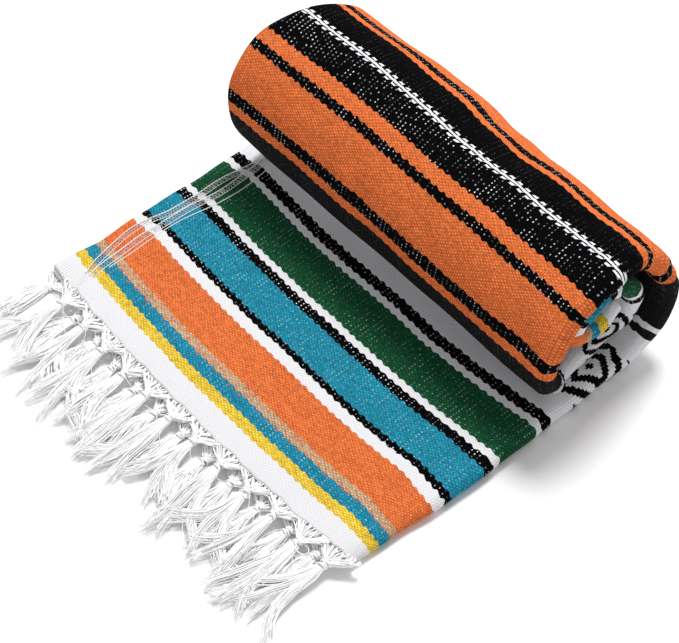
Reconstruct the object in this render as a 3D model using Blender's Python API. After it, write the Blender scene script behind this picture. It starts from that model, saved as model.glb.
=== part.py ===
"""Mexican serape: a striped handwoven blanket with knotted fringe, folded and rolled up.

The blanket is folded in half along its length, hem on hem, then in four across its width,
and rolled up from the folded end. The last stretch, with the hem and its fringe, lies flat.

Axes: X runs across the folded cloth, along the roll. Y runs from the fringe towards the roll.
Z is up, and the floor is at zero. Lengths are in metres.
"""
import math
import random

import bmesh
import bpy
import numpy as np

MM = 0.001

# The stack of folded cloth
DOUBLE_LAYERS = 4                # doubled cloth lies four times on itself
STACK = 13.0 * MM                # height of the four where the stack lies flat
ROLLED_STACK = 15.0 * MM         # looser height where the stack is rolled
FOLD_SWELL = 2.6 * MM            # how much fuller the double fold on the right is
SWELL_REACH = 14.0 * MM          # width of the stretch that the swelling takes
SELVEDGE_SETBACK = 25.0 * MM     # from the left fold to the selvedges that lie on it
SELVEDGE_STAGGER = 4.0 * MM      # the upper selvedge stands further in than the lower one
LAYER_GROOVE = 1.6 * MM          # depth of the groove between two layers
SEAM_GAP = 0.3 * MM              # clearance between solids that meet

# The flat stretch, measured from the middle of the roll's line of contact
HEM_TO_ROLL = 237.5 * MM         # from the hem to where the cloth leaves the floor
HEM_BOW = 9.0 * MM               # the hem's two ends lie this much further back
HEM_BOW_REACH = 130.0 * MM       # where the bow has died out
HEM_ROUNDING = 1.3 * MM          # how far each layer's rounded edge stands out at the hem
HEM_STAGGER = (0.0, 1.6, 0.5, 2.2)   # mm that each doubled layer is set back, bottom to top
FLAT_LEFT = -171.0 * MM
FLAT_RIGHT = 166.0 * MM
FLAT_STATIONS = 13

# The outer turn: polar about the roll's middle, 0 degrees towards +Y and 90 degrees up
ROLL_HEIGHT = 68.5 * MM          # height of the roll's middle, and its radius at the floor
OUTER_TURN = (
    # angle, outer radius mm, left fold mm, right fold mm
    (-90.0, 68.5, -171.0, 166.0),
    (-45.0, 68.5, -167.0, 167.0),
    (0.0, 67.5, -160.0, 169.0),
    (30.0, 66.0, -152.0, 171.0),
    (55.0, 66.0, -148.0, 171.0),
    (75.0, 68.4, -150.0, 168.0),
    (95.0, 69.0, -156.0, 165.0),
    (130.0, 68.5, -165.0, 163.0),
    (165.0, 68.5, -164.0, 161.0),
    (190.0, 67.0, -161.0, 159.0),
    (212.0, 65.8, -159.0, 156.0),
    (232.0, 65.2, -158.0, 154.0),
)
OUTER_STATIONS = 44

# The inner coil: its outer face, from the nip inwards to the blanket's middle fold.
# It starts where the outer turn ends, and bends level on an arc about a point 16 mm above.
INNER_COIL = (
    # along Y from the roll's middle mm, height mm, left fold mm, right fold mm
    (-36.8, 15.1, -158.0, 154.0),
    (-33.3, 14.0, -157.5, 153.5),
    (-30.0, 13.6, -157.0, 153.0),
    (-14.0, 13.6, -156.0, 152.0),
    (4.0, 13.6, -155.0, 151.0),
    (19.0, 18.2, -154.0, 151.0),
    (34.0, 27.5, -153.0, 153.0),
    (41.5, 46.0, -152.0, 156.0),
    (41.0, 66.0, -151.0, 159.0),
    (32.0, 86.0, -150.0, 162.0),
    (16.0, 101.5, -150.0, 163.0),
    (-4.0, 110.5, -149.0, 164.0),
    (-23.0, 111.0, -148.0, 164.5),
    (-37.0, 100.0, -148.0, 164.5),
    (-40.0, 82.0, -147.0, 164.0),
    (-30.0, 66.0, -147.0, 163.0),
    (-13.0, 59.5, -146.0, 162.0),
    (4.0, 60.0, -146.0, 160.0),
    (17.0, 65.0, -146.0, 158.0),
)
COIL_STEP = 9.0 * MM             # distance between two sections along the coil
CORE_LEFT = -122.0 * MM          # the hidden turns share one solid between these two ends
CORE_RIGHT = 132.0 * MM
CORE_ARC = (-58.0, 215.0)        # the part of the roll's inside that the core follows
CORE_FOOT = ((-20.0, 20.0), (16.0, 21.0))   # mm, where it stands inside the coil's lowest stretch
CORE_STATIONS = 36

# Columns and rows of a section through the stack
STRIP_COLUMNS = 3                # across the strip between the left fold and the selvedges
MAIN_COLUMNS = 8                 # across the rest
ROWS = 2 * DOUBLE_LAYERS         # two to each doubled layer

# Fringe: warp ends knotted in bunches at both hems
STRAND = 2.0 * MM                # thickness of a lock of warp ends at its root
STRAND_TIP = 1.1 * MM
STRAND_FLOOR_GAP = 0.9 * MM
TIER_LIFT = 2.4 * MM             # a tassel's second tier of locks rests this much higher
OVER_LOWER = 3.0 * MM            # the upper fringe rests on the lower one
LOWER_REACH = 40.0 * MM          # from here on it comes down, past the lower one's ends
FRINGE_REACH = 84.0 * MM         # where it would be down to the floor
KNOT_LENGTH = 7.0 * MM
UPPER_KNOT_ROW = 5               # the row of the stack at the upper knots' height
LOWER_KNOT_ROW = 3
UPPER_FRINGE = (
    # across mm, heading degrees from -Y, bend degrees, length mm
    (-138.0, -9.0, 10.0, 68.0),
    (-112.0, -2.0, 8.0, 76.0),
    (-87.0, 0.0, 6.0, 77.0),
    (-61.0, 2.0, -4.0, 72.0),
    (-36.0, -3.0, 5.0, 80.0),
    (-10.0, -2.0, 4.0, 79.0),
    (16.0, -3.0, 7.0, 73.0),
    (42.0, 3.0, 3.0, 80.0),
    (69.0, 4.0, -4.0, 78.0),
    (96.0, 2.0, 5.0, 72.0),
    (123.0, 4.0, 5.0, 80.0),
    (149.0, 7.0, 3.0, 76.0),
)
LOWER_FRINGE = (
    # across mm, heading degrees from -Y, bend degrees, length mm
    (-160.0, -16.0, 12.0, 54.0),
    (-125.0, -5.0, 9.0, 56.0),
    (-99.0, -1.0, 6.0, 57.0),
    (-74.0, 1.0, 0.0, 55.0),
    (-48.0, 0.0, -1.0, 58.0),
    (-23.0, -3.0, 5.0, 57.0),
    (3.0, -2.0, 5.0, 56.0),
    (29.0, 1.0, 4.0, 58.0),
    (55.0, 3.0, -1.0, 55.0),
    (82.0, 3.0, 0.0, 58.0),
    (109.0, 3.0, 4.0, 56.0),
    (136.0, 6.0, 3.0, 57.0),
)

CLOTH_COLOUR = (0.76, 0.21, 0.06, 1.0)
CORE_COLOUR = (0.10, 0.12, 0.13, 1.0)
FRINGE_COLOUR = (0.86, 0.86, 0.88, 1.0)


def clear_scene():
    for thing in list(bpy.data.objects):
        bpy.data.objects.remove(thing, do_unlink=True)


def cloth_material(name, colour, roughness):
    material = bpy.data.materials.new(name)
    material.use_nodes = True
    shader = material.node_tree.nodes["Principled BSDF"]
    shader.inputs["Base Color"].default_value = colour
    shader.inputs["Roughness"].default_value = roughness
    shader.inputs["Metallic"].default_value = 0.0
    return material


def add_object(name, points, faces, material):
    mesh = bpy.data.meshes.new(name)
    mesh.from_pydata([tuple(point) for point in points], [], faces)
    mesh.materials.append(material)
    shell = bmesh.new()
    shell.from_mesh(mesh)
    bmesh.ops.recalc_face_normals(shell, faces=shell.faces)
    shell.to_mesh(mesh)
    shell.free()
    mesh.shade_smooth()
    mesh.set_sharp_from_angle(angle=math.radians(50.0))
    thing = bpy.data.objects.new(name, mesh)
    bpy.context.collection.objects.link(thing)
    return thing


def smooth_table(rows, key, at):
    """Read every other column of a table at a value of its key column, as a smooth curve."""
    table = np.array(rows, dtype=float)
    keys = table[:, key]
    values = np.delete(table, key, axis=1)
    slopes = np.gradient(values, keys, axis=0)
    slopes[0] = 0.0
    slot = int(np.clip(np.searchsorted(keys, at, side="right") - 1, 0, len(keys) - 2))
    width = keys[slot + 1] - keys[slot]
    t = (at - keys[slot]) / width
    start = (2.0 * t**3 - 3.0 * t**2 + 1.0) * values[slot] + (t**3 - 2.0 * t**2 + t) * width * slopes[slot]
    end = (3.0 * t**2 - 2.0 * t**3) * values[slot + 1] + (t**3 - t**2) * width * slopes[slot + 1]
    return start + end


def section(place, inward, left, right, height, swell):
    """One section through the stack: where its outer face lies, and which way the layers go."""
    return {"place": np.array(place), "inward": np.array(inward), "left": left, "right": right,
            "height": height, "swell": swell}


def hem_bow(across):
    """How far the hem lies back at a place across the cloth."""
    middle = 0.5 * (FLAT_LEFT + FLAT_RIGHT)
    reach = 0.5 * (FLAT_RIGHT - FLAT_LEFT)
    return HEM_BOW * min(1.0, abs(across - middle) / reach) ** 2.5


def flat_sections():
    """Sections of the flat stretch, closer together at the hem."""
    sections = []
    for index in range(FLAT_STATIONS):
        along = HEM_TO_ROLL * (index / FLAT_STATIONS) ** 1.5
        swell = FOLD_SWELL * (1.0 - 0.5 * along / HEM_TO_ROLL)
        sections.append(section((-HEM_TO_ROLL + along, 0.0), (0.0, 1.0), FLAT_LEFT, FLAT_RIGHT,
                                STACK, swell))
    return sections


def outer_turn_point(angle):
    radius, left, right = smooth_table(OUTER_TURN, 0, angle) * MM
    turn = math.radians(angle)
    return np.array((radius * math.cos(turn), ROLL_HEIGHT + radius * math.sin(turn))), left, right


def outer_turn_sections():
    """Sections round the outer turn, from the floor over the top and down into the nip."""
    first = OUTER_TURN[0][0]
    last = OUTER_TURN[-1][0]
    sections = []
    for index in range(OUTER_STATIONS):
        angle = first + (last - first) * index / (OUTER_STATIONS - 1)
        place, left, right = outer_turn_point(angle)
        before = outer_turn_point(max(first, angle - 1.0))[0]
        after = outer_turn_point(min(last, angle + 1.0))[0]
        ahead = (after - before) / np.linalg.norm(after - before)
        if index == 0:
            ahead = np.array((1.0, 0.0))
        loosened = min(1.0, index / 8.0)
        height = STACK + (ROLLED_STACK - STACK) * loosened
        sections.append(section(place, (-ahead[1], ahead[0]), left, right, height, 0.5 * FOLD_SWELL))
    return sections


def coil_sections():
    """Sections along the inner coil, spaced evenly along its outer face."""
    joint = outer_turn_sections()[-1]
    ahead = np.array((joint["inward"][1], -joint["inward"][0]))
    start = joint["place"] + ahead * SEAM_GAP
    first = (start[0] / MM, start[1] / MM, joint["left"] / MM, joint["right"] / MM)
    rows = [(float(index),) + row for index, row in enumerate((first,) + INNER_COIL)]
    fine = np.array([smooth_table(rows, 0, at) for at in np.linspace(0.0, len(rows) - 1.0, 400)]) * MM
    steps = np.linalg.norm(np.diff(fine[:, :2], axis=0), axis=1)
    along = np.concatenate(((0.0,), np.cumsum(steps)))
    count = int(round(along[-1] / COIL_STEP)) + 1
    sections = []
    for at in np.linspace(0.0, along[-1], count):
        row = [np.interp(at, along, fine[:, column]) for column in range(4)]
        before = [np.interp(at - 2.0 * MM, along, fine[:, column]) for column in range(2)]
        after = [np.interp(at + 2.0 * MM, along, fine[:, column]) for column in range(2)]
        ahead = np.array(after) - np.array(before)
        ahead = ahead / np.linalg.norm(ahead)
        inward = joint["inward"] if at == 0.0 else (-ahead[1], ahead[0])
        sections.append(section(row[:2], inward, row[2], row[3], ROLLED_STACK - SEAM_GAP, 0.0))
    return sections


def left_edge(part, row):
    """Where a row of the stack ends on the left: the fold below, the two selvedges above."""
    quarter = 0.25 * part["height"]
    half_rows = ROWS // 2
    if row <= half_rows:
        rise = row / half_rows * 2.0 - 1.0
        return part["left"] + quarter * (1.0 - math.sqrt(max(0.0, 1.0 - rise * rise)))
    selvedge = part["left"] + SELVEDGE_SETBACK
    if row > half_rows + 2:
        selvedge += SELVEDGE_STAGGER
    if row == half_rows + 2:
        selvedge += LAYER_GROOVE
    if row == ROWS:
        selvedge += 0.5 * LAYER_GROOVE
    return selvedge


def stack_point(part, row, column):
    """A point of the section's grid: row 0 is the outer face, column 0 the left fold."""
    height = part["height"]
    level = row / ROWS
    strip_end = part["left"] + SELVEDGE_SETBACK + LAYER_GROOVE
    last = STRIP_COLUMNS + MAIN_COLUMNS
    if column <= STRIP_COLUMNS and row <= ROWS // 2:
        start = left_edge(part, row)
        across = start + (strip_end - start) * column / STRIP_COLUMNS
    else:
        start = strip_end if row <= ROWS // 2 else left_edge(part, row)
        full = 0.5 * (height + part["swell"])
        rise = level * 2.0 - 1.0
        end = part["right"] - full * (1.0 - math.sqrt(max(0.0, 1.0 - rise * rise)))
        share = (column - STRIP_COLUMNS) / MAIN_COLUMNS
        spread = 1.0 - (1.0 - share) ** 1.6
        across = start + (end - start) * (spread if column < last else 1.0)
    near_fold = max(0.0, 1.0 - (part["right"] - across) / SWELL_REACH)
    depth = level * (height + part["swell"] * near_fold)
    return across, depth


def stack_rim():
    """The grid's boundary, once round: outer face, right fold, inner face, selvedges, left fold."""
    last = STRIP_COLUMNS + MAIN_COLUMNS
    half = ROWS // 2
    rim = [(0, column) for column in range(last + 1)]
    rim += [(row, last) for row in range(1, ROWS + 1)]
    rim += [(ROWS, column) for column in range(last - 1, STRIP_COLUMNS - 1, -1)]
    rim += [(row, STRIP_COLUMNS) for row in range(ROWS - 1, half - 1, -1)]
    rim += [(half, column) for column in range(STRIP_COLUMNS - 1, -1, -1)]
    rim += [(row, 0) for row in range(half - 1, 0, -1)]
    return rim


def stack_cells():
    """The grid's cells, which close a section at either end of the cloth."""
    last = STRIP_COLUMNS + MAIN_COLUMNS
    half = ROWS // 2
    cells = [(row, column) for row in range(half) for column in range(last)]
    cells += [(row, column) for row in range(half, ROWS) for column in range(STRIP_COLUMNS, last)]
    return cells


def layered_end(row):
    """How far a row stands out at the hem, so that its four layers show as rounded edges."""
    layer = min(DOUBLE_LAYERS - 1, row // 2)
    setback = HEM_STAGGER[layer] * MM
    if row % 2 == 1:
        return HEM_ROUNDING - setback
    return -setback


def rounded_end(part, row):
    """How far a row stands out where the whole stack turns over at the blanket's middle fold."""
    rise = 2.0 * row / ROWS - 1.0
    return 0.5 * part["height"] * math.sqrt(max(0.0, 1.0 - rise * rise))


def solid_point(part, row, column, along, bowed):
    """A point of the section's grid in space, moved along the cloth by a given distance."""
    across, depth = stack_point(part, row, column)
    ahead = np.array((part["inward"][1], -part["inward"][0]))
    at = part["place"] + part["inward"] * depth + ahead * along
    if bowed:
        fading = max(0.0, 1.0 - (part["place"][0] + HEM_TO_ROLL) / HEM_BOW_REACH)
        at[0] += hem_bow(across) * fading
    return across, at[0], at[1]


def sweep_stack(sections, from_hem):
    """One closed body: the stack's section carried along the path, closed by a grid at each end."""
    rim = stack_rim()
    cells = stack_cells()
    whole = sorted({(row + i, column + j) for row, column in cells for i in (0, 1) for j in (0, 1)})
    last = len(sections) - 1
    points = []
    faces = []
    rings = []
    for index, part in enumerate(sections):
        bowed = from_hem and index < FLAT_STATIONS
        ring = {}
        for row, column in whole if index in (0, last) else rim:
            along = 0.0
            if from_hem and index == 0:
                along = -layered_end(row)
            if not from_hem and index == last:
                along = rounded_end(part, row)
            ring[(row, column)] = len(points)
            points.append(solid_point(part, row, column, along, bowed))
        rings.append(ring)
    for ring, following in zip(rings, rings[1:]):
        for key, turned in zip(rim, rim[1:] + rim[:1]):
            faces.append((ring[key], ring[turned], following[turned], following[key]))
    for ring, turned_over in ((rings[0], False), (rings[last], True)):
        for row, column in cells:
            corners = [ring[(row, column)], ring[(row + 1, column)],
                       ring[(row + 1, column + 1)], ring[(row, column + 1)]]
            faces.append(tuple(corners[::-1] if turned_over else corners))
    return points, faces


def core_prism():
    """The hidden turns as one rounded solid that fills the outer turn's inside."""
    outline = []
    first, last = CORE_ARC
    for index in range(CORE_STATIONS):
        angle = first + (last - first) * index / (CORE_STATIONS - 1)
        place = outer_turn_point(angle)[0]
        middle = np.array((0.0, ROLL_HEIGHT))
        distance = np.linalg.norm(place - middle)
        outline.append(middle + (place - middle) * (1.0 - (ROLLED_STACK + 2.0 * SEAM_GAP) / distance))
    outline += [np.array(foot) * MM for foot in CORE_FOOT]
    points = [(across, y, z) for across in (CORE_LEFT, CORE_RIGHT) for y, z in outline]
    count = len(outline)
    faces = [(i, (i + 1) % count, count + (i + 1) % count, count + i) for i in range(count)]
    faces.append(tuple(range(count))[::-1])
    faces.append(tuple(range(count, 2 * count)))
    return points, faces


def build_outer_stretch(material):
    sections = flat_sections() + outer_turn_sections()
    points, faces = sweep_stack(sections, from_hem=True)
    return add_object("cloth_flat_and_outer_turn", points, faces, material)


def build_core(material):
    """The inner coil's edges stand out of the rounded solid at both ends of the roll."""
    points, faces = sweep_stack(coil_sections(), from_hem=False)
    coil = add_object("cloth_inner_coil", points, faces, material)
    points, faces = core_prism()
    prism = add_object("core_fill", points, faces, material)
    union = coil.modifiers.new("one_solid", "BOOLEAN")
    union.operation = "UNION"
    union.object = prism
    prism.hide_render = True
    prism.display_type = "WIRE"
    return coil


def strand_ring(centre, ahead, across, width, depth):
    """Four corners of a lock of warp ends, level across and square to its run."""
    up = np.cross(ahead, across)
    return [centre + across * i * 0.5 * width + up * j * 0.5 * depth
            for i, j in ((-1, -1), (1, -1), (1, 1), (-1, 1))]


def resting_share(distance):
    """How much of its lift the upper fringe still has at a distance from the hem."""
    return min(1.0, (FRINGE_REACH - distance) / (FRINGE_REACH - LOWER_REACH))


def build_tassel(name, knot, row, tiers, lanes, over, seed, material):
    """A knot with its locks: the knot's front is a grid, and each of its cells runs out as a lock."""
    dice = random.Random(seed)
    _, heading, bend, length = row
    heading = math.radians(heading)
    bend = math.radians(bend)
    width = lanes * STRAND * 0.72
    depth = tiers * STRAND * 0.95
    points = []
    faces = []

    def add(point):
        points.append(tuple(point))
        return len(points) - 1

    ahead = np.array((math.sin(heading), -math.cos(heading), 0.0))
    across = np.array((math.cos(heading), math.sin(heading), 0.0))
    up = np.array((0.0, 0.0, 1.0))
    front = knot + ahead * KNOT_LENGTH
    grid = {}
    for tier in range(tiers + 1):
        for lane in range(lanes + 1):
            side = lane / lanes - 0.5
            lift = tier / tiers - 0.5
            crown = 1.0 - 0.35 * (2.0 * side) ** 2
            grid[(tier, lane)] = add(front + across * side * width + up * lift * depth * crown)
    rim = [(0, lane) for lane in range(lanes + 1)]
    rim += [(tier, lanes) for tier in range(1, tiers + 1)]
    rim += [(tiers, lane) for lane in range(lanes - 1, -1, -1)]
    rim += [(tier, 0) for tier in range(tiers - 1, 0, -1)]
    previous = {key: grid[key] for key in rim}
    for share, scale in ((0.55, 1.18), (0.12, 0.86)):
        ring = {}
        for key in rim:
            offset = np.array(points[grid[key]]) - front
            ring[key] = add(knot + ahead * KNOT_LENGTH * share + offset * scale)
        for key, turned in zip(rim, rim[1:] + rim[:1]):
            faces.append((ring[key], ring[turned], previous[turned], previous[key]))
        previous = ring
    back = add(knot)
    for key, turned in zip(rim, rim[1:] + rim[:1]):
        faces.append((back, previous[turned], previous[key]))

    for tier in range(tiers):
        for lane in range(lanes):
            side = (lane + 0.5) / lanes - 0.5
            lift = (tier + 0.5) / tiers - 0.5
            reach = (length * MM - KNOT_LENGTH) * dice.uniform(0.84, 1.0)
            start = front + across * side * width + up * lift * depth
            corners = [grid[(tier, lane)], grid[(tier, lane + 1)],
                       grid[(tier + 1, lane + 1)], grid[(tier + 1, lane)]]
            wave = dice.uniform(-0.25, 0.25) * MM
            for step, t in enumerate((0.16, 0.5, 0.8, 1.0)):
                turn = heading + bend * t
                run = np.array((math.sin(0.5 * (heading + turn)), -math.cos(0.5 * (heading + turn)), 0.0))
                fan = side * width * (1.0 + 1.1 * t)
                resting = STRAND_FLOOR_GAP + STRAND_TIP + tier * TIER_LIFT
                resting += over * resting_share(KNOT_LENGTH + reach * t)
                fall = (start[2] - resting) * (1.0 - (1.0 - min(1.0, t * 1.4)) ** 2)
                centre = front + run * reach * t + across * fan
                centre[2] = start[2] - fall + (wave if step == 2 else 0.0)
                facing = np.array((math.sin(turn), -math.cos(turn), 0.0))
                level = np.array((math.cos(turn), math.sin(turn), 0.0))
                thick = STRAND * 0.8 + (STRAND_TIP - STRAND * 0.8) * t
                ring = [add(p) for p in strand_ring(centre, facing, level, thick, thick)]
                for i in range(4):
                    j = (i + 1) % 4
                    faces.append((corners[i], corners[j], ring[j], ring[i]))
                corners = ring
            faces.append(tuple(corners))
    return add_object(name, points, faces, material)


def build_fringe(name, table, knot_row, tiers, lanes, over, material):
    """One row of tassels along a hem, each knot just in front of the layer it is tied to."""
    tassels = []
    for index, row in enumerate(table):
        across = row[0] * MM
        front = -HEM_TO_ROLL + hem_bow(across) - layered_end(knot_row) - SEAM_GAP
        knot = np.array((across, front, STACK * knot_row / ROWS))
        tassels.append(build_tassel(f"{name}_{index + 1:02d}", knot, row, tiers, lanes, over,
                                    31 * index + tiers, material))
    return tassels


def centre_on_floor(things):
    """Move everything so that the middle of the whole, on the floor, is the origin."""
    bpy.context.view_layer.update()
    depsgraph = bpy.context.evaluated_depsgraph_get()
    lows = []
    highs = []
    for thing in things:
        mesh = thing.evaluated_get(depsgraph).data
        flat = np.empty(len(mesh.vertices) * 3)
        mesh.vertices.foreach_get("co", flat)
        places = flat.reshape(-1, 3)
        lows.append(places.min(axis=0))
        highs.append(places.max(axis=0))
    low = np.min(lows, axis=0)
    high = np.max(highs, axis=0)
    shift = (-0.5 * (low[0] + high[0]), -0.5 * (low[1] + high[1]), -low[2])
    for thing in bpy.data.objects:
        thing.location = shift


def main():
    clear_scene()
    cloth = cloth_material("woven_striped_cloth", CLOTH_COLOUR, 0.92)
    core = cloth_material("woven_cloth_inner_turns", CORE_COLOUR, 0.92)
    yarn = cloth_material("knotted_warp_yarn", FRINGE_COLOUR, 0.85)
    things = [build_outer_stretch(cloth), build_core(core)]
    things += build_fringe("tassel_upper", UPPER_FRINGE, UPPER_KNOT_ROW, 2, 6, OVER_LOWER, yarn)
    things += build_fringe("tassel_lower", LOWER_FRINGE, LOWER_KNOT_ROW, 1, 8, 0.0, yarn)
    centre_on_floor(things)


main()
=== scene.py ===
"""Mexican serape: a striped handwoven blanket with knotted fringe, folded in four and rolled up.

The doubled blanket is folded in four across its width, so each section shows four soft layers.
Its hem end lies flat towards the camera, and the rest is rolled on top of itself.
Cloth places are worked out in millimetres: across the cloth, and along it from the hem.
"""
import math
import random

import bpy
import numpy as np
from bpy.props import FloatProperty, FloatVectorProperty, IntProperty, PointerProperty
from mathutils import Matrix, Vector


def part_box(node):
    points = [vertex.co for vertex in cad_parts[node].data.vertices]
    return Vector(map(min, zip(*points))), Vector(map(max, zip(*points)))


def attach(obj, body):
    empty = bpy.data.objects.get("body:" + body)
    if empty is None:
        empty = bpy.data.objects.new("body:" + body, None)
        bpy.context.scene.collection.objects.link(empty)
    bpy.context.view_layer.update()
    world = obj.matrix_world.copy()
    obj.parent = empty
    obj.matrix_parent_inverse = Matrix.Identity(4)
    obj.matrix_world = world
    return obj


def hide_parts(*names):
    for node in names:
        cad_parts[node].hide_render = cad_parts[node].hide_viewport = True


bl_info = {
    "name": "Mexican serape",
    "version": (1, 0, 0),
    "blender": (4, 5, 0),
    "location": "3D View > Sidebar > Serape",
    "description": "A rolled striped blanket with fringe, dressed over its CAD frame",
    "category": "Object",
}

MM = 0.001

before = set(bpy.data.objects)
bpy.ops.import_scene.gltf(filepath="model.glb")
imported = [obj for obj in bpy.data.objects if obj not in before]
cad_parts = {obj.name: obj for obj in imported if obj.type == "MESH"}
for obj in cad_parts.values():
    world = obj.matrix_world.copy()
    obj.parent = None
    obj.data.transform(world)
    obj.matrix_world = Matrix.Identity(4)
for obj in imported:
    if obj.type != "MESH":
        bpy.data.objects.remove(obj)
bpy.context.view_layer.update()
CLOTH_LOW, CLOTH_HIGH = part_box("cloth_flat_and_outer_turn")

# The flat stretch, in the layout's own millimetres: X across, Y from the hem to the roll's middle
FLAT_LEFT, FLAT_RIGHT = -171.0, 166.0
HEM_TO_ROLL = 237.5
HEM_BOW, HEM_BOW_REACH = 9.0, 130.0
STACK, ROLLED_STACK = 13.0, 15.0    # height of the folded cloth where it lies flat and where it is rolled
LAYERS = 4                          # the doubled cloth lies on itself this often
LAYER_FULLNESS = 0.94               # how much of its share of the height a layer fills
FLAT_SWELL, ROLLED_SWELL, COIL_SWELL = 2.2, 1.0, 0.6    # how much fatter the double fold on the right is
FOLD_REACH = 16.0                   # how far in from that fold it is fatter
SEAM_GAP = 0.3                      # between the outer turn and the coil
ROLL_HEIGHT = 68.5
ROLL_BACK = 67.5                    # the roll reaches this far behind its middle
MM_PER_DEGREE = 1.19                # cloth taken up by a degree of the outer turn
LAYOUT_SHIFT = Vector((CLOTH_LOW.x - FLAT_LEFT * MM, CLOTH_HIGH.y - ROLL_BACK * MM, 0.0))

# Stations of the cloth's sections: close together at the hem, then even
HEM_STATIONS = (0.0, 1.2, 2.6, 4.2, 6.5, 9.5, 13.0, 17.0)
EVEN_FROM, FLAT_STATIONS, TURN_STATIONS, COIL_STATIONS = 21.0, 50, 121, 90
FULLY_LOOSE = -20.0                 # from this angle of the outer turn on, its layers lie loose

OUTER_TURN = (
    # angle, outer radius, left fold, right fold
    (-90.0, 68.5, -171.0, 166.0),
    (-60.0, 68.5, -168.5, 170.0),
    (-30.0, 68.0, -165.0, 171.5),
    (0.0, 67.5, -160.0, 170.0),
    (30.0, 66.0, -152.0, 167.0),
    (55.0, 66.0, -148.0, 165.5),
    (75.0, 68.4, -149.0, 166.5),
    (95.0, 69.0, -155.5, 168.5),
    (130.0, 68.5, -164.5, 169.0),
    (165.0, 68.5, -163.5, 168.5),
    (190.0, 67.0, -161.0, 166.0),
    (212.0, 65.8, -159.0, 161.0),
    (232.0, 65.2, -158.0, 156.0),
)
# The right fold over the flat stretch: along the cloth, across
RIGHT_FOLD = ((0.0, 157.5), (15.0, 158.5), (30.0, 159.5), (45.0, 160.5), (75.0, 163.5),
              (90.0, 164.5), (120.0, 166.0), (237.5, 166.0))
# How far the roll's upper back hangs lower, across
ROLL_DROOP = ((-171.0, 1.8), (-135.0, 1.3), (-110.0, 0.8), (-80.0, 0.0), (-45.0, -0.5), (-25.0, -1.6),
              (-6.0, -1.0), (8.0, 1.1), (30.0, 1.2), (45.0, 2.3), (65.0, 1.6), (85.0, 2.2),
              (105.0, 3.8), (120.0, 4.3), (135.0, 3.6), (150.0, 4.0), (171.0, 5.5))
INNER_COIL = (
    # Y, Z, left fold, right fold
    (-36.8, 15.1, -158.0, 154.0),
    (-33.3, 14.0, -157.5, 153.5),
    (-30.0, 13.6, -157.0, 153.0),
    (-14.0, 13.6, -156.0, 152.0),
    (4.0, 13.6, -155.0, 151.0),
    (19.0, 18.2, -154.0, 151.0),
    (34.0, 27.5, -153.0, 153.0),
    (41.5, 46.0, -152.0, 156.0),
    (41.0, 66.0, -151.0, 159.0),
    (32.0, 86.0, -150.0, 162.0),
    (16.0, 101.5, -150.0, 163.0),
    (-4.0, 110.5, -149.0, 164.0),
    (-23.0, 111.0, -148.0, 164.5),
    (-37.0, 100.0, -148.0, 164.5),
    (-40.0, 82.0, -147.0, 164.0),
    (-30.0, 66.0, -147.0, 163.0),
    (-13.0, 59.5, -146.0, 162.0),
    (4.0, 60.0, -146.0, 160.0),
    (17.0, 65.0, -146.0, 158.0),
)
COIL_SELVEDGES = (14.0, 18.0)       # lower and upper, in from the coil's left fold
MIDDLE_FOLD = 912.0                 # along the cloth, where the blanket is doubled

# Where the two selvedges lie on the left: along the cloth, lower selvedge, upper selvedge
SELVEDGES = (
    (0.0, -146.0, -143.0),
    (15.0, -150.0, -145.0),
    (30.0, -155.5, -147.5),
    (55.0, -161.0, -149.5),
    (85.0, -161.0, -149.5),
    (105.0, -157.0, -149.0),
    (125.0, -156.0, -147.5),
    (150.0, -157.0, -145.5),
    (170.0, -154.0, -146.0),
    (200.0, -150.0, -148.0),
    (237.5, -148.0, -145.0),
)
SELVEDGE_INSET = 1.6                # from a selvedge to the last point of its layer's middle line
# A selvedge is two cloths with a groove between them: height and reach, in thicknesses
SELVEDGE_LIP = ((0.34, 0.30), (0.0, 0.10), (-0.34, 0.30))
HEM_SETBACK = (2.2, 0.5, 1.6, 0.0)  # the hem of layers 4, 3, 2 and 1 stands this much further in
SETBACK_REACH = 9.0                 # and this far along the cloth it is made up for
NIBBLE_REACH = 12.0                 # so far in from the hem it is uneven
END_ROUNDING = ((0.30, 0.9), (0.78, 0.6))   # share of the section and place of the rings that close an end
# Place across the unfolded cloth of each layer's points: its sign and its start
WIDTH_RUN = {4: (1.0, 142.0), 1: (-1.0, 476.4), 2: (1.0, 817.0), 3: (-1.0, 1138.0)}

LEAVES_FLOOR = (225.0, 262.0)       # along, where the flat stretch gives way to the roll
UPPER_BACK = (325.0, 372.0, 452.0, 500.0)   # along, where the roll's back hangs lower
TOP_OF_ROLL = (290.0, 380.0, 455.0, 488.0)  # along, where the stripes wander as on top of the roll
PLEATED_END = (138.0, 168.0)        # across, where the small pleats of the roll's right end begin

# How far the stripes wander back: across, at mid tail, on the whole roll, on top of the roll
STRIPE_DRIFT = (
    (-171.0, 2.0, 0.0, -5.0),
    (-140.0, 2.0, -0.8, -4.4),
    (-105.0, -0.5, -0.8, -4.0),
    (-70.0, -2.5, -1.0, -3.0),
    (-30.0, -3.5, -1.0, -0.2),
    (0.0, -3.0, -0.7, 0.4),
    (30.0, -3.5, 0.2, -1.0),
    (60.0, -4.5, 0.8, -2.2),
    (100.0, -2.5, 2.5, -3.4),
    (140.0, 1.0, 3.0, -5.0),
    (171.0, 2.5, 5.0, -6.0),
)
# Near the front right corner the stripes swing back to the hem: along the cloth, how far
CORNER_SWING = ((0.0, 3.0), (20.0, 4.0), (45.0, 5.5), (77.0, 6.0), (92.0, 3.5), (120.0, 2.0), (140.0, 0.0))
COIL_SETBACK = 3.0                  # how far all stripes of the coil lie back

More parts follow.
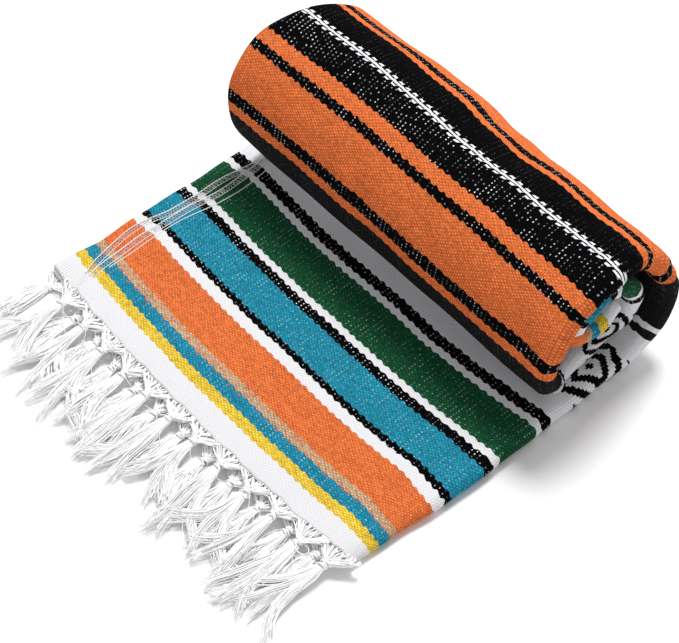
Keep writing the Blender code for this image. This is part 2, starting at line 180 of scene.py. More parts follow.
# Soft troughs and ridges, listed one by one, on the roll and on the flat stretch: from across/along
# to across/along, width, depth
ROLL_FOLDS = (
    (-34.0, 516.0, -20.0, 534.0, 8.0, 1.5),
    (28.0, 512.0, 52.0, 530.0, 9.0, 1.7),
    (62.0, 430.0, 96.0, 470.0, 15.0, 1.6),
    (-92.0, 470.0, -60.0, 505.0, 15.0, -1.0),
    (105.0, 500.0, 140.0, 540.0, 14.0, 1.9),
    (20.0, 400.0, 44.0, 432.0, 17.0, 1.5),
    (-58.0, 395.0, -14.0, 405.0, 20.0, -1.6),
    (-130.0, 530.0, -88.0, 560.0, 14.0, 1.3),
    (-10.0, 560.0, 50.0, 575.0, 12.0, 1.2),
    (130.0, 440.0, 160.0, 520.0, 13.0, 1.8),
    (-120.0, 300.0, -60.0, 330.0, 18.0, 1.5),
    (10.0, 280.0, 80.0, 310.0, 20.0, 1.6),
    (60.0, 345.0, 130.0, 360.0, 15.0, 1.3),
    (-90.0, 350.0, -30.0, 372.0, 14.0, 1.0),
)
TAIL_FOLDS = (
    (-100.0, 120.0, -60.0, 190.0, 16.0, 0.8),
    (-20.0, 150.0, 10.0, 215.0, 20.0, 0.9),
    (60.0, 60.0, 85.0, 160.0, 22.0, -0.7),
    (110.0, 20.0, 140.0, 60.0, 16.0, 0.9),
    (-60.0, 20.0, -30.0, 70.0, 18.0, -0.6),
    (120.0, 150.0, 150.0, 210.0, 14.0, 0.9),
    (-152.0, 201.0, -30.0, 205.0, 11.0, -4.5),
    (10.0, 206.0, 95.0, 208.0, 9.0, -2.2),
)

# Fringe tassels: across, heading from -Y, bend, length (mm and degrees)
UPPER_TASSELS = (
    (-138.0, -9.0, 10.0, 68.0), (-112.0, -2.0, 8.0, 76.0), (-87.0, 0.0, 6.0, 77.0),
    (-61.0, 2.0, -4.0, 72.0), (-36.0, -3.0, 5.0, 80.0), (-10.0, -2.0, 4.0, 79.0),
    (16.0, -3.0, 7.0, 73.0), (42.0, 3.0, 3.0, 80.0), (69.0, 4.0, -4.0, 78.0),
    (96.0, 0.0, 3.0, 72.0), (123.0, -2.0, 1.0, 80.0), (148.0, -7.0, -3.0, 78.0),
)
LOWER_TASSELS = (
    (-160.0, -16.0, 12.0, 54.0), (-125.0, -5.0, 9.0, 56.0), (-99.0, -1.0, 6.0, 57.0),
    (-74.0, 1.0, 0.0, 55.0), (-48.0, 0.0, -1.0, 58.0), (-23.0, -3.0, 5.0, 57.0),
    (3.0, -2.0, 5.0, 56.0), (29.0, 1.0, 4.0, 58.0), (55.0, 3.0, -1.0, 55.0),
    (82.0, 1.0, 0.0, 58.0), (109.0, 0.0, 2.0, 56.0), (135.0, -3.0, -2.0, 57.0),
)

GATHERED_ENDS, GATHERED_WIDTH = 34, 30.0    # warp ends of a tassel, and the stretch of hem they leave
KNOT_WRAPS = 5
HEM_TO_TAIL = 12.0                  # from the hem to where a tassel's tail begins
BODY_YARNS = 2                      # thick yarns that fill a lock from below
YARN_POINTS = 12                    # points of a loose yarn
YARN_SIDES = 4
HEM_HEIGHTS = (9.8, 3.6)            # where the upper and the lower fringe leave the hem
REST_HEIGHTS = (4.4, 1.6)           # and where they come to rest

# Slack loops by the knots: middle, radius, where the loop starts, height
UPPER_LOOPS = (((16.0, -243.0), 4.6, 60.0, 10.0), ((128.0, -246.0), 5.0, 140.0, 9.0),
               ((-84.0, -240.0), 3.4, 20.0, 11.0), ((72.0, -247.0), 3.0, 200.0, 9.0))

# The straight seam beside the upper selvedge: along the cloth, across
SEAM = ((34.0, -141.0), (60.0, -141.0), (105.0, -141.0), (122.0, -138.0), (140.0, -135.5),
        (165.0, -134.5), (185.0, -137.0), (212.0, -139.0))
SEAM_PITCH, OVERLOCK_PITCH = 1.5, 1.25
OVERLOCKED = (18.0, 228.0)          # along the cloth, the stretch whose overlock shows

# Stripes of the pattern's two halves, hem to dashes and on to the middle fold: where each starts, its colour
WHITE, YELLOW, BLUE, TAN, ORANGE = "white", "yellow", "blue", "tan", "orange"
BLACK, TEAL, GREEN, RIBS, DARK = "black", "teal", "green", "ribs", "dark"
STRIPES_FROM_HEM = (
    (0.0, WHITE), (19.5, YELLOW), (28.5, BLUE), (37.5, TAN), (45.0, ORANGE), (77.5, WHITE),
    (86.0, BLACK), (92.0, TEAL), (120.0, BLACK), (128.0, WHITE), (133.0, GREEN), (166.5, WHITE),
    (172.0, BLACK), (181.5, RIBS), (284.0, DARK), (292.0, WHITE), (297.0, DARK),
    (358.0, ORANGE), (366.0, BLACK), (378.0, ORANGE), (413.0, BLACK), (420.5, ORANGE), (428.5, BLACK),
)
STRIPES_TO_MIDDLE = (
    (456.0, BLACK), (480.0, ORANGE), (491.0, BLACK), (498.5, ORANGE), (534.5, BLACK), (546.5, ORANGE),
    (555.0, DARK), (615.0, WHITE), (620.0, DARK), (628.0, RIBS), (730.5, BLACK), (740.0, WHITE),
    (745.5, GREEN), (779.0, WHITE), (784.0, BLACK), (792.0, TEAL), (820.0, BLACK), (826.0, WHITE),
    (834.5, ORANGE), (867.0, TAN), (874.5, BLUE), (883.5, YELLOW), (892.5, WHITE),
)
# How much of the white warp each colour of weft lets show
WARP_SHOWS = {WHITE: 0.25, YELLOW: 0.42, BLUE: 0.5, TAN: 0.55, ORANGE: 0.36, BLACK: 0.95,
              TEAL: 0.5, GREEN: 0.42, RIBS: 0.2, DARK: 0.12}
PATTERN_HALF = 456.0
EDGE_BEAD, EDGE_RAG = 0.62, 1.5     # how far a stripe's edge is beaded and ragged
DASHES = (452.7, 459.3)
DASH_PERIOD = 7.4                   # mm, four warp ends
DASH_ROW = (1.32, 0.52)             # middle and half width of a row of dashes, from the cord's middle
DASH_LEAN, DASH_SHARE = -0.65, 0.56
DIAMOND_BANDS = (232.5, 679.5)
DIAMOND_HALF = 29.5                 # half the width of a band of diamonds
DIAMOND_WIDTH = 21.0                # from a diamond's middle to its tip
DIAMOND_STEP = (1.85, 1.9)          # across, along
DIAMOND_SLOPE, DIAMOND_RING, DIAMOND_INK = 0.9, 7.2, 3.8
MARL_FROM_MIDDLE = (414.8, 4.4)     # the tan stripes' middle and half width, from the pattern's middle
# Noise scales to the metre: the beat over 26 mm, stripes' wander over 71, ragged edges over 4, and
# the drifts in which warp shows over 22
BEAT_SCALE, WANDER_SCALE, RAG_SCALE, WARP_DRIFT_SCALE = 38.0, 14.0, 240.0, 45.0

# The stage, in metres: the floor, the point that camera and lights face, and the lights around it
FLOOR_REACH, FLOOR_HEIGHT = 4.0, -0.0004
AIM = Vector((0.0, -0.1, 0.0))      # from the floor under the middle of the roll
KEY_PLACE, KEY_SIZE = Vector((-0.31, 0.83, 2.0)), 0.68
FILL_PLACE, FILL_SIZE = Vector((0.2, -1.9, 0.75)), 1.2


def linear(hex_colour):
    """An sRGB hex colour as linear RGBA."""
    channels = [int(hex_colour[i:i + 2], 16) / 255.0 for i in (1, 3, 5)]
    return [c / 12.92 if c <= 0.04045 else ((c + 0.055) / 1.055) ** 2.4 for c in channels] + [1.0]


def swatch(name, hex_colour, description):
    """A colour property from its sRGB hex value."""
    return FloatVectorProperty(name=name, description=description, subtype="COLOR", size=4,
                               min=0.0, max=1.0, default=linear(hex_colour))


class SerapeCloth(bpy.types.PropertyGroup):
    """Sizes and yarn colours of the striped cloth."""
    warp_pitch: FloatProperty(name="Warp pitch", description="Distance between two warp ends",
                              default=1.85 * MM, unit="LENGTH", precision=5)
    pick_pitch: FloatProperty(name="Pick pitch", description="Distance between two weft picks",
                              default=1.25 * MM, unit="LENGTH", precision=5)
    wander: FloatProperty(name="Stripe wander", description="How far a stripe's edge strays from straight",
                          default=0.9 * MM, unit="LENGTH", precision=5)
    white: swatch("White", "#ECECEF", "Bleached cotton ground")
    yellow: swatch("Yellow", "#F4CF48", "Yellow stripe")
    blue: swatch("Blue", "#268DAA", "Narrow blue stripe")
    tan: swatch("Tan", "#CFAA88", "Tan marl stripe")
    orange: swatch("Orange", "#EE7A42", "Orange stripes")
    black: swatch("Black", "#070709", "Black stripes")
    dark: swatch("Charcoal", "#1E1E1F", "Charcoal bands")
    teal: swatch("Teal", "#268EA9", "Wide blue-green stripe")
    green: swatch("Green", "#1B5436", "Dark green stripe")
    ribs: swatch("Grey white", "#EDEDF2", "Ribbed band beside the diamonds")
    warp: swatch("Warp", "#F6F7FA", "White warp ends that show between the weft")


class SerapeFringe(bpy.types.PropertyGroup):
    """Sizes and colour of the fringe and of the sewing thread."""
    yarn: FloatProperty(name="Yarn", description="Thickness of one loose yarn", default=0.52 * MM,
                        unit="LENGTH", precision=5)
    locks: IntProperty(name="Locks", description="Locks in a tassel", default=5, min=2, max=14)
    ends: IntProperty(name="Ends", description="Loose yarns in a lock", default=17, min=2, max=40)
    seed: IntProperty(name="Seed", description="Seed of the yarns' places", default=11)
    thread: FloatProperty(name="Thread", description="Thickness of the sewing thread",
                          default=0.40 * MM, unit="LENGTH", precision=5)
    colour: swatch("Yarn colour", "#FFFFFF", "Bleached cotton warp")
    thread_colour: swatch("Thread colour", "#F4F4F2", "White polyester thread")


class SerapeStage(bpy.types.PropertyGroup):
    """Camera, floor and lights."""
    lens: FloatProperty(name="Lens", description="Focal length", default=97.8, unit="CAMERA")
    distance: FloatProperty(name="Distance", description="From the camera to the floor point it looks at",
                            default=1.33, unit="LENGTH")
    pitch: FloatProperty(name="Pitch", description="How far the camera looks down",
                         default=math.radians(53.1), unit="ROTATION")
    bearing: FloatProperty(name="Bearing", description="Turn of the camera from looking along +Y",
                           default=math.radians(48.5), unit="ROTATION")
    sky: FloatProperty(name="Sky", description="Strength of the even light from all round", default=0.53)
    key: FloatProperty(name="Key", description="Power of the softbox behind and to the left", default=42.0)
    fill: FloatProperty(name="Fill", description="Power of the low soft fill in front", default=3.0)
    floor_colour: swatch("Floor", "#F7F7F7", "Pale studio paper")


# Small helpers

def smooth_table(rows, at):
    """Rows of (key, values...) read at many keys, as smooth curves."""
    table = np.array(rows, dtype=float)
    keys, values = table[:, 0], table[:, 1:]
    slopes = np.gradient(values, keys, axis=0)
    slopes[0] = 0.0
    at = np.clip(np.asarray(at, dtype=float), keys[0], keys[-1])
    slot = np.clip(np.searchsorted(keys, at, side="right") - 1, 0, len(keys) - 2)
    width = (keys[slot + 1] - keys[slot])[..., None]
    t = (at - keys[slot])[..., None] / width
    start = (2 * t**3 - 3 * t**2 + 1) * values[slot] + (t**3 - 2 * t**2 + t) * width * slopes[slot]
    end = (3 * t**2 - 2 * t**3) * values[slot + 1] + (t**3 - t**2) * width * slopes[slot + 1]
    return start + end


def smoothstep(low, high, at):
    """A smooth rise from 0 at low to 1 at high."""
    t = np.clip((np.asarray(at, dtype=float) - low) / (high - low), 0.0, 1.0)
    return t * t * (3.0 - 2.0 * t)


def plateau(reach, at):
    """A smooth rise over the first two places of reach, and a smooth fall over the last two."""
    start, full, ebb, end = reach
    return smoothstep(start, full, at) * (1.0 - smoothstep(ebb, end, at))


def hem_bow(across):
    """How far the hem lies back at a place across the cloth."""
    middle, reach = 0.5 * (FLAT_LEFT + FLAT_RIGHT), 0.5 * (FLAT_RIGHT - FLAT_LEFT)
    return HEM_BOW * np.minimum(1.0, np.abs(across - middle) / reach) ** 2.5


def bow_left(across, along):
    """How much of the hem's bow is left at a place along the cloth."""
    return hem_bow(across) * np.maximum(0.0, 1.0 - along / HEM_BOW_REACH)


def troughs(across, along, table):
    """Depth of the listed folds at places on the cloth."""
    depth = np.zeros(np.broadcast(across, along).shape)
    for x0, v0, x1, v1, width, deep in table:
        run = np.array((x1 - x0, v1 - v0))
        t = np.clip(((across - x0) * run[0] + (along - v0) * run[1]) / (run @ run), 0.0, 1.0)
        away = np.hypot(across - x0 - t * run[0], along - v0 - t * run[1])
        depth += deep * np.exp(-(away / width) ** 2)
    return depth


def add_mesh(name, points, faces, material, uv=None):
    """Link a smooth mesh with its material and, where it has one, its map of the unfolded cloth."""
    mesh = bpy.data.meshes.new(name)
    mesh.from_pydata(np.asarray(points).tolist(), [], faces)
    if uv is not None:
        layer = mesh.uv_layers.new(name="cloth")
        corners = np.empty(len(mesh.loops), dtype=np.int32)
        mesh.loops.foreach_get("vertex_index", corners)
        layer.data.foreach_set("uv", np.asarray(uv, dtype=np.float32)[corners].ravel())
    mesh.shade_smooth()
    piece = bpy.data.objects.new(name, mesh)
    bpy.context.scene.collection.objects.link(piece)
    mesh.materials.append(material)
    return piece


# Where the cloth runs: each path is a dictionary of arrays, one value for each station

def outer_path():
    """Stations over the flat stretch and round the outer turn."""
    even = np.linspace(EVEN_FROM, HEM_TO_ROLL, FLAT_STATIONS, endpoint=False)
    flat = np.concatenate((HEM_STATIONS, even))
    angles = np.linspace(OUTER_TURN[0][0], OUTER_TURN[-1][0], TURN_STATIONS)
    radius, left, right = smooth_table(OUTER_TURN, angles).T
    turn = np.radians(angles)
    y = radius * np.cos(turn)
    z = ROLL_HEIGHT + radius * np.sin(turn)
    ahead = np.gradient(np.stack((y, z), axis=1), axis=0)
    ahead[0] = (1.0, 0.0)
    ahead /= np.linalg.norm(ahead, axis=1)[:, None]
    loosened = smoothstep(angles[0], FULLY_LOOSE, angles)
    count = len(flat)
    return {
        "along": np.concatenate((flat, HEM_TO_ROLL + (angles - angles[0]) * MM_PER_DEGREE)),
        "place": np.concatenate((np.stack((flat - HEM_TO_ROLL, flat * 0.0), axis=1),
                                 np.stack((y, z), axis=1))),
        "inward": np.concatenate((np.tile((0.0, 1.0), (count, 1)),
                                  np.stack((-ahead[:, 1], ahead[:, 0]), axis=1))),
        "left": np.concatenate((np.full(count, FLAT_LEFT), left)),
        "right": np.concatenate((smooth_table(RIGHT_FOLD, flat)[:, 0], right)),
        "height": np.concatenate((np.full(count, STACK), STACK + (ROLLED_STACK - STACK) * loosened)),
        "swell": np.concatenate((np.full(count, FLAT_SWELL),
                                 FLAT_SWELL + (ROLLED_SWELL - FLAT_SWELL) * loosened)),
    }


def coil_path():
    """Stations along the inner coil, from the nip in to the blanket's middle fold."""
    outer = outer_path()
    joint, inward = outer["place"][-1], outer["inward"][-1]
    onwards = np.array((inward[1], -inward[0]))
    start = joint + onwards * SEAM_GAP
    first = (start[0], start[1], outer["left"][-1], outer["right"][-1])
    rows = [(float(i),) + tuple(row) for i, row in enumerate((first,) + INNER_COIL)]
    fine = smooth_table(rows, np.linspace(0.0, len(rows) - 1.0, 500))
    steps = np.linalg.norm(np.diff(fine[:, :2], axis=0), axis=1)
    run = np.concatenate(((0.0,), np.cumsum(steps)))
    even = np.linspace(0.0, run[-1], COIL_STATIONS)
    row = np.stack([np.interp(even, run, fine[:, column]) for column in range(4)], axis=1)
    ahead = np.gradient(row[:, :2], axis=0)
    ahead[0] = onwards
    ahead /= np.linalg.norm(ahead, axis=1)[:, None]
    along = outer["along"][-1]
    return {
        "along": along + even * (MIDDLE_FOLD - along) / run[-1],
        "place": row[:, :2],
        "inward": np.stack((-ahead[:, 1], ahead[:, 0]), axis=1),
        "left": row[:, 2],
        "right": row[:, 3],
        "height": np.full(COIL_STATIONS, ROLLED_STACK - SEAM_GAP),
        "swell": np.full(COIL_STATIONS, COIL_SWELL),
    }


def graded(count, low, high):
    """Shares from 0 to 1 that lie closer together at the ends: low and high say how strongly."""
    sharp, pull = 9.0, 4.0 / 9.0
    t = np.linspace(0.0, 1.0, count)
    at_low = np.exp(-sharp * t) * t
    at_high = np.exp(sharp * (t - 1.0)) * (1.0 - t)
    bent = t + pull * (high * at_high - low * at_low)
    return (bent - bent[0]) / (bent[-1] - bent[0])


def section(path, selvedge_low, selvedge_top, shown, hidden):
    """The folded cloth's centreline in every section: across, depth, normal, width run and layer."""
    left, right, height, swell = (path[key][:, None] for key in ("left", "right", "height", "swell"))
    low, top = selvedge_low[:, None], selvedge_top[:, None]
    quarter = height / LAYERS
    full = height + swell
    middle = right - full / 2.0
    hidden_fold = middle - 1.0
    pieces = []

    def straight(start, stop, depth, normal, layer, shares):
        """A level stretch of one layer."""
        across = start + (stop - start) * shares[None, :]
        sign, begin = WIDTH_RUN[layer]
        pieces.append((across, depth + across * 0.0, across * 0.0, normal + across * 0.0,
                       sign * across + begin, layer + across * 0.0))

    def turned(centre, deep, radius, first, last, outwards, layers, count):
        """A fold between two layers. Its width run is filled in from its neighbours."""
        angle = np.radians(np.linspace(first, last, count + 2)[1:-1])[None, :]
        share = np.linspace(0.0, 1.0, count + 2)[1:-1][None, :]
        across = centre + radius * np.cos(angle)
        pieces.append((across, deep + radius * np.sin(angle),
                       outwards * np.cos(angle) + across * 0.0,
                       outwards * np.sin(angle) + across * 0.0,
                       None, layers[0] + (layers[1] - layers[0]) * share + across * 0.0))

    # From the upper selvedge over the double fold on the right, under to the left fold, back in to
    # the hidden fold, and out to the lower selvedge
    straight(top + SELVEDGE_INSET, middle, height - quarter / 2.0, 1.0, 4, shown)
    across, depth = pieces[0][:2]
    depth += swell * smoothstep(FOLD_REACH, 0.0, middle - across)
    turned(middle, full / 2.0, full / 2.0 - quarter / 2.0, 90.0, -90.0, 1.0, (4.0, 1.0), 10)
    straight(middle, left + quarter, quarter / 2.0, -1.0, 1, shown)
    turned(left + quarter, quarter, quarter / 2.0, -90.0, -270.0, 1.0, (1.0, 2.0), 7)
    straight(left + quarter, hidden_fold, quarter * 1.5, 1.0, 2, hidden)
    turned(hidden_fold, quarter * 2.0, quarter / 2.0, -90.0, 90.0, -1.0, (2.0, 3.0), 3)
    straight(hidden_fold, low + SELVEDGE_INSET, quarter * 2.5, -1.0, 3, 1.0 - hidden[::-1])
    runs = []
    for index, piece in enumerate(pieces):
        if piece[4] is not None:
            runs.append(piece[4])
            continue
        count = piece[0].shape[1]
        share = np.linspace(0.0, 1.0, count + 2)[1:-1][None, :]
        before, after = pieces[index - 1][4][:, -1:], pieces[index + 1][4][:, :1]
        runs.append(before * (1.0 - share) + after * share)
    columns = [np.concatenate([piece[i] for piece in pieces], axis=1) for i in (0, 1, 2, 3, 5)]
    return columns[:4] + [np.concatenate(runs, axis=1), columns[4]]


def shell_ring(lines, thick):
    """The ring round every section's centreline, and the centreline point behind each ring point."""
    across, depth, out_x, out_d, width_run, layer = lines
    half = thick * 0.5
    outside, inside = ((across + out_x * half * side, depth + out_d * half * side, width_run, layer)
                       for side in (1.0, -1.0))
    caps = []
    for column, turn in ((-1, 1.0), (0, -1.0)):
        x, d, run, at_layer, normal = (array[:, [column]]
                                       for array in (across, depth, width_run, layer, out_d))
        rows = [(x - reach * thick, d + normal * thick * lift * turn, run, at_layer)
                for lift, reach in SELVEDGE_LIP]
        caps.append([np.concatenate([row[i] for row in rows], axis=1) for i in range(4)])
    ring = [np.concatenate((outside[i], caps[0][i], inside[i][:, ::-1], caps[1][i]), axis=1)
            for i in range(4)]
    centre = [np.concatenate((source, caps[0][i], source[:, ::-1], caps[1][i]), axis=1)
              for i, source in enumerate((across, depth))]
    return ring, centre


def end_faces(base, count, turned_over):
    """Close one end of a shell: quads between its two skins, and a fan at each selvedge."""
    closing = []
    for i in range(count - 1):
        mirrored = base + 2 * count + 2 - i
        closing.append([base + i, base + i + 1, mirrored - 1, mirrored])
    for start, near, far in ((base + count, base + count - 1, base + count + 3),
                             (base + 2 * count + 3, base + 2 * count + 2, base)):
        closing.append([near, start, start + 1, start + 2, far])
    return [face[::-1] for face in closing] if turned_over else closing


def cloth_shell(name, path, selvedge_low, selvedge_top, shown, hidden, shape, drift, hem, material):
    """One closed thin shell: the doubled cloth's folded section carried along its path."""
    lines = section(path, selvedge_low, selvedge_top, shown, hidden)
    thick = path["height"][:, None] / LAYERS * LAYER_FULLNESS
    (across, depth, width_run, layer), (centre_x, centre_d) = shell_ring(lines, thick)
    along = path["along"][:, None] + across * 0.0
    places, inward = path["place"], path["inward"]
    ahead = np.stack((inward[:, 1], -inward[:, 0]), axis=1)
    points, uvs = [], []

    def add_ring(station, pinch, push):
        """One ring, pinched towards its centreline and pushed along the cloth."""
        x = centre_x[station] + (across[station] - centre_x[station]) * pinch
        d = centre_d[station] + (depth[station] - centre_d[station]) * pinch
        v = along[station]
        x, d, bow = shape(x, d, v, layer[station], path["height"][station])
        y = places[station, 0] + inward[station, 0] * d + ahead[station, 0] * push + bow
        z = places[station, 1] + inward[station, 1] * d + ahead[station, 1] * push
        points.append(np.stack((x, y, z), axis=1))
        uvs.append(np.stack((width_run[station], v + push * 0.5 - drift(across[station], v)), axis=1))

    setback = np.interp(layer[0], np.arange(1.0, LAYERS + 1.0), HEM_SETBACK[::-1]) if hem else 0.0
    last = len(places) - 1
    for pinch, push in END_ROUNDING:
        add_ring(0, pinch, setback - push)
    for station in range(last + 1):
        add_ring(station, 1.0, setback * max(0.0, 1.0 - path["along"][station] / SETBACK_REACH))
    for pinch, push in END_ROUNDING[::-1]:
        add_ring(last, pinch, push)
    size = across.shape[1]
    index = np.arange(len(points) * size).reshape(len(points), size)
    here, there = index[:-1], index[1:]
    quads = np.stack((here, np.roll(here, -1, axis=1), np.roll(there, -1, axis=1), there), axis=2)
    faces = quads.reshape(-1, 4)[:, ::-1].tolist()
    count = lines[0].shape[1]
    faces += end_faces(0, count, False) + end_faces((len(points) - 1) * size, count, True)
    points = np.concatenate(points) * MM + np.array(LAYOUT_SHIFT)
    return add_mesh(name, points, faces, material, np.concatenate(uvs) * MM)


def tail_and_turn_shape(x, d, v, layer, height):
    """Moves a section's points: the hem's bow, soft folds, the low corner, the lifted left hem."""
    depth_share = np.clip(d / height, 0.0, 1.2)
    flat = 1.0 - smoothstep(*LEAVES_FLOOR, v)
    nibbled = 0.6 * np.sin(x / 2.9 + 1.4 * np.sin(x / 11.0)) + 0.5 * np.sin(x / 7.1 + 2.0)
    bow = bow_left(x, v) + (nibbled + 0.6) * np.maximum(0.0, 1.0 - v / NIBBLE_REACH) * (layer > 2.5)
    tail = troughs(x, v, TAIL_FOLDS) + 0.35 * np.sin(x / 17.0 + 0.6) * np.sin(v / 23.0 + 1.1)
    roll = troughs(x, v, ROLL_FOLDS) + 0.7 * np.sin(x / 37.0 + 0.8) * np.sin(v / 31.0 + 0.5)
    roll += 0.3 * np.sin(x / 13.0 + v / 41.0)
    upper_back = plateau(UPPER_BACK, v)
    roll += smooth_table(ROLL_DROOP, x)[..., 0] * upper_back
    pleats = np.sin(v / 2.4 + x / 9.0) + 0.8
    roll += smoothstep(*PLEATED_END, x) * upper_back * pleats
    corner = smoothstep(FLAT_RIGHT - 30.0, FLAT_RIGHT - 6.0, x) * (1.0 - smoothstep(15.0, 120.0, v))
    d = d - tail * depth_share * flat - corner * 3.0 * depth_share
    d = d + roll * (1.0 - flat)
    lower_fold = layer < 2.6
    puffed = (1.0 - smoothstep(-168.0, -146.0, x)) * flat * lower_fold
    d = d * (1.0 + 0.3 * puffed)
    lifted = (1.0 - smoothstep(-166.0, -138.0, x)) * (1.0 - smoothstep(4.0, 46.0, v))
    d = d + lifted * 5.5 * lower_fold
    wobble = 0.6 * np.sin(v / 19.0) + 0.4 * np.sin(v / 7.3 + 1.0)
    at_left, at_right = 1.0 - smoothstep(-160.0, -120.0, x), smoothstep(130.0, 165.0, x)
    return x + wobble * at_left - 0.7 * wobble * at_right, d, bow


def coil_shape(x, d, v, layer, height):
    """The coil's sections only waver a little, whatever their layer and height."""
    d = d + 0.4 * np.sin(x / 21.0 + v / 37.0)
    x = x + 1.2 * np.sin(v / 16.0 + 0.7) + 0.6 * np.sin(v / 6.1)
    return x, d, v * 0.0


def stripe_drift(x, v):
    """How far the stripes lie behind their station, beside what the bowed cloth already does."""
    at_tail, on_roll, on_top = np.moveaxis(smooth_table(STRIPE_DRIFT, x), -1, 0)
    share = smoothstep(0.0, 110.0, v)
    tail = hem_bow(x) * (1.0 - share) + at_tail * share - bow_left(x, v)
    tail -= smooth_table(CORNER_SWING, v)[..., 0] * smoothstep(124.0, 160.0, x)
    roll = on_roll * smoothstep(260.0, 330.0, v) + on_top * plateau(TOP_OF_ROLL, v)
    return tail * (1.0 - smoothstep(225.0, 300.0, v)) + roll


def coil_drift(x, v):
    """The coil's stripes lie behind their station by the same length everywhere."""
    return np.full(np.shape(x), COIL_SETBACK)


def on_cloth(x, v, layer, above):
    """A point just above one layer of the flat stretch, in the layout's millimetres."""
    spot = (np.array([x]), np.array([STACK * layer / LAYERS]), np.array([v]))
    x, d, bow = tail_and_turn_shape(*spot, np.array([float(layer)]), STACK)
    return float(x[0]), v - HEM_TO_ROLL + float(bow[0]), float(d[0]) + above


# Materials

def add(tree, kind, inputs=(), **settings):
    """Add a node: its settings, then its inputs as values or links, by place or by name."""
    node = tree.nodes.new(kind)
    for key, value in settings.items():
        setattr(node, key, value)
    pairs = inputs.items() if isinstance(inputs, dict) else enumerate(inputs)
    for key, value in pairs:
        if isinstance(value, bpy.types.NodeSocket):
            tree.links.new(value, node.inputs[key])
        elif isinstance(value, bpy.types.Node):
            tree.links.new(value.outputs[0], node.inputs[key])
        elif value is not None:
            node.inputs[key].default_value = value
    return node


def new_material(name):
    """A material with an empty tree."""
    material = bpy.data.materials.new(name)
    material.use_nodes = True
    material.node_tree.nodes.clear()
    return material, material.node_tree


def stripe_ramp(tree, place, stripes, start, end, look):
    """A stepped colour ramp over one half of the pattern; its alpha says how much warp shows."""
    share = add(tree, "ShaderNodeMapRange", (place, start, end, 0.0, 1.0))
    node = add(tree, "ShaderNodeValToRGB", (share,))
    ramp = node.color_ramp
    ramp.interpolation = "CONSTANT"
    for index, (at, colour) in enumerate(stripes):
        position = (at - start) / (end - start)
        stop = ramp.elements[0] if index == 0 else ramp.elements.new(position)
        stop.position = position
        stop.color = list(getattr(look, colour))[:3] + [WARP_SHOWS[colour]]
    ramp.elements.remove(ramp.elements[-1])     # a new ramp's own second stop
    return node


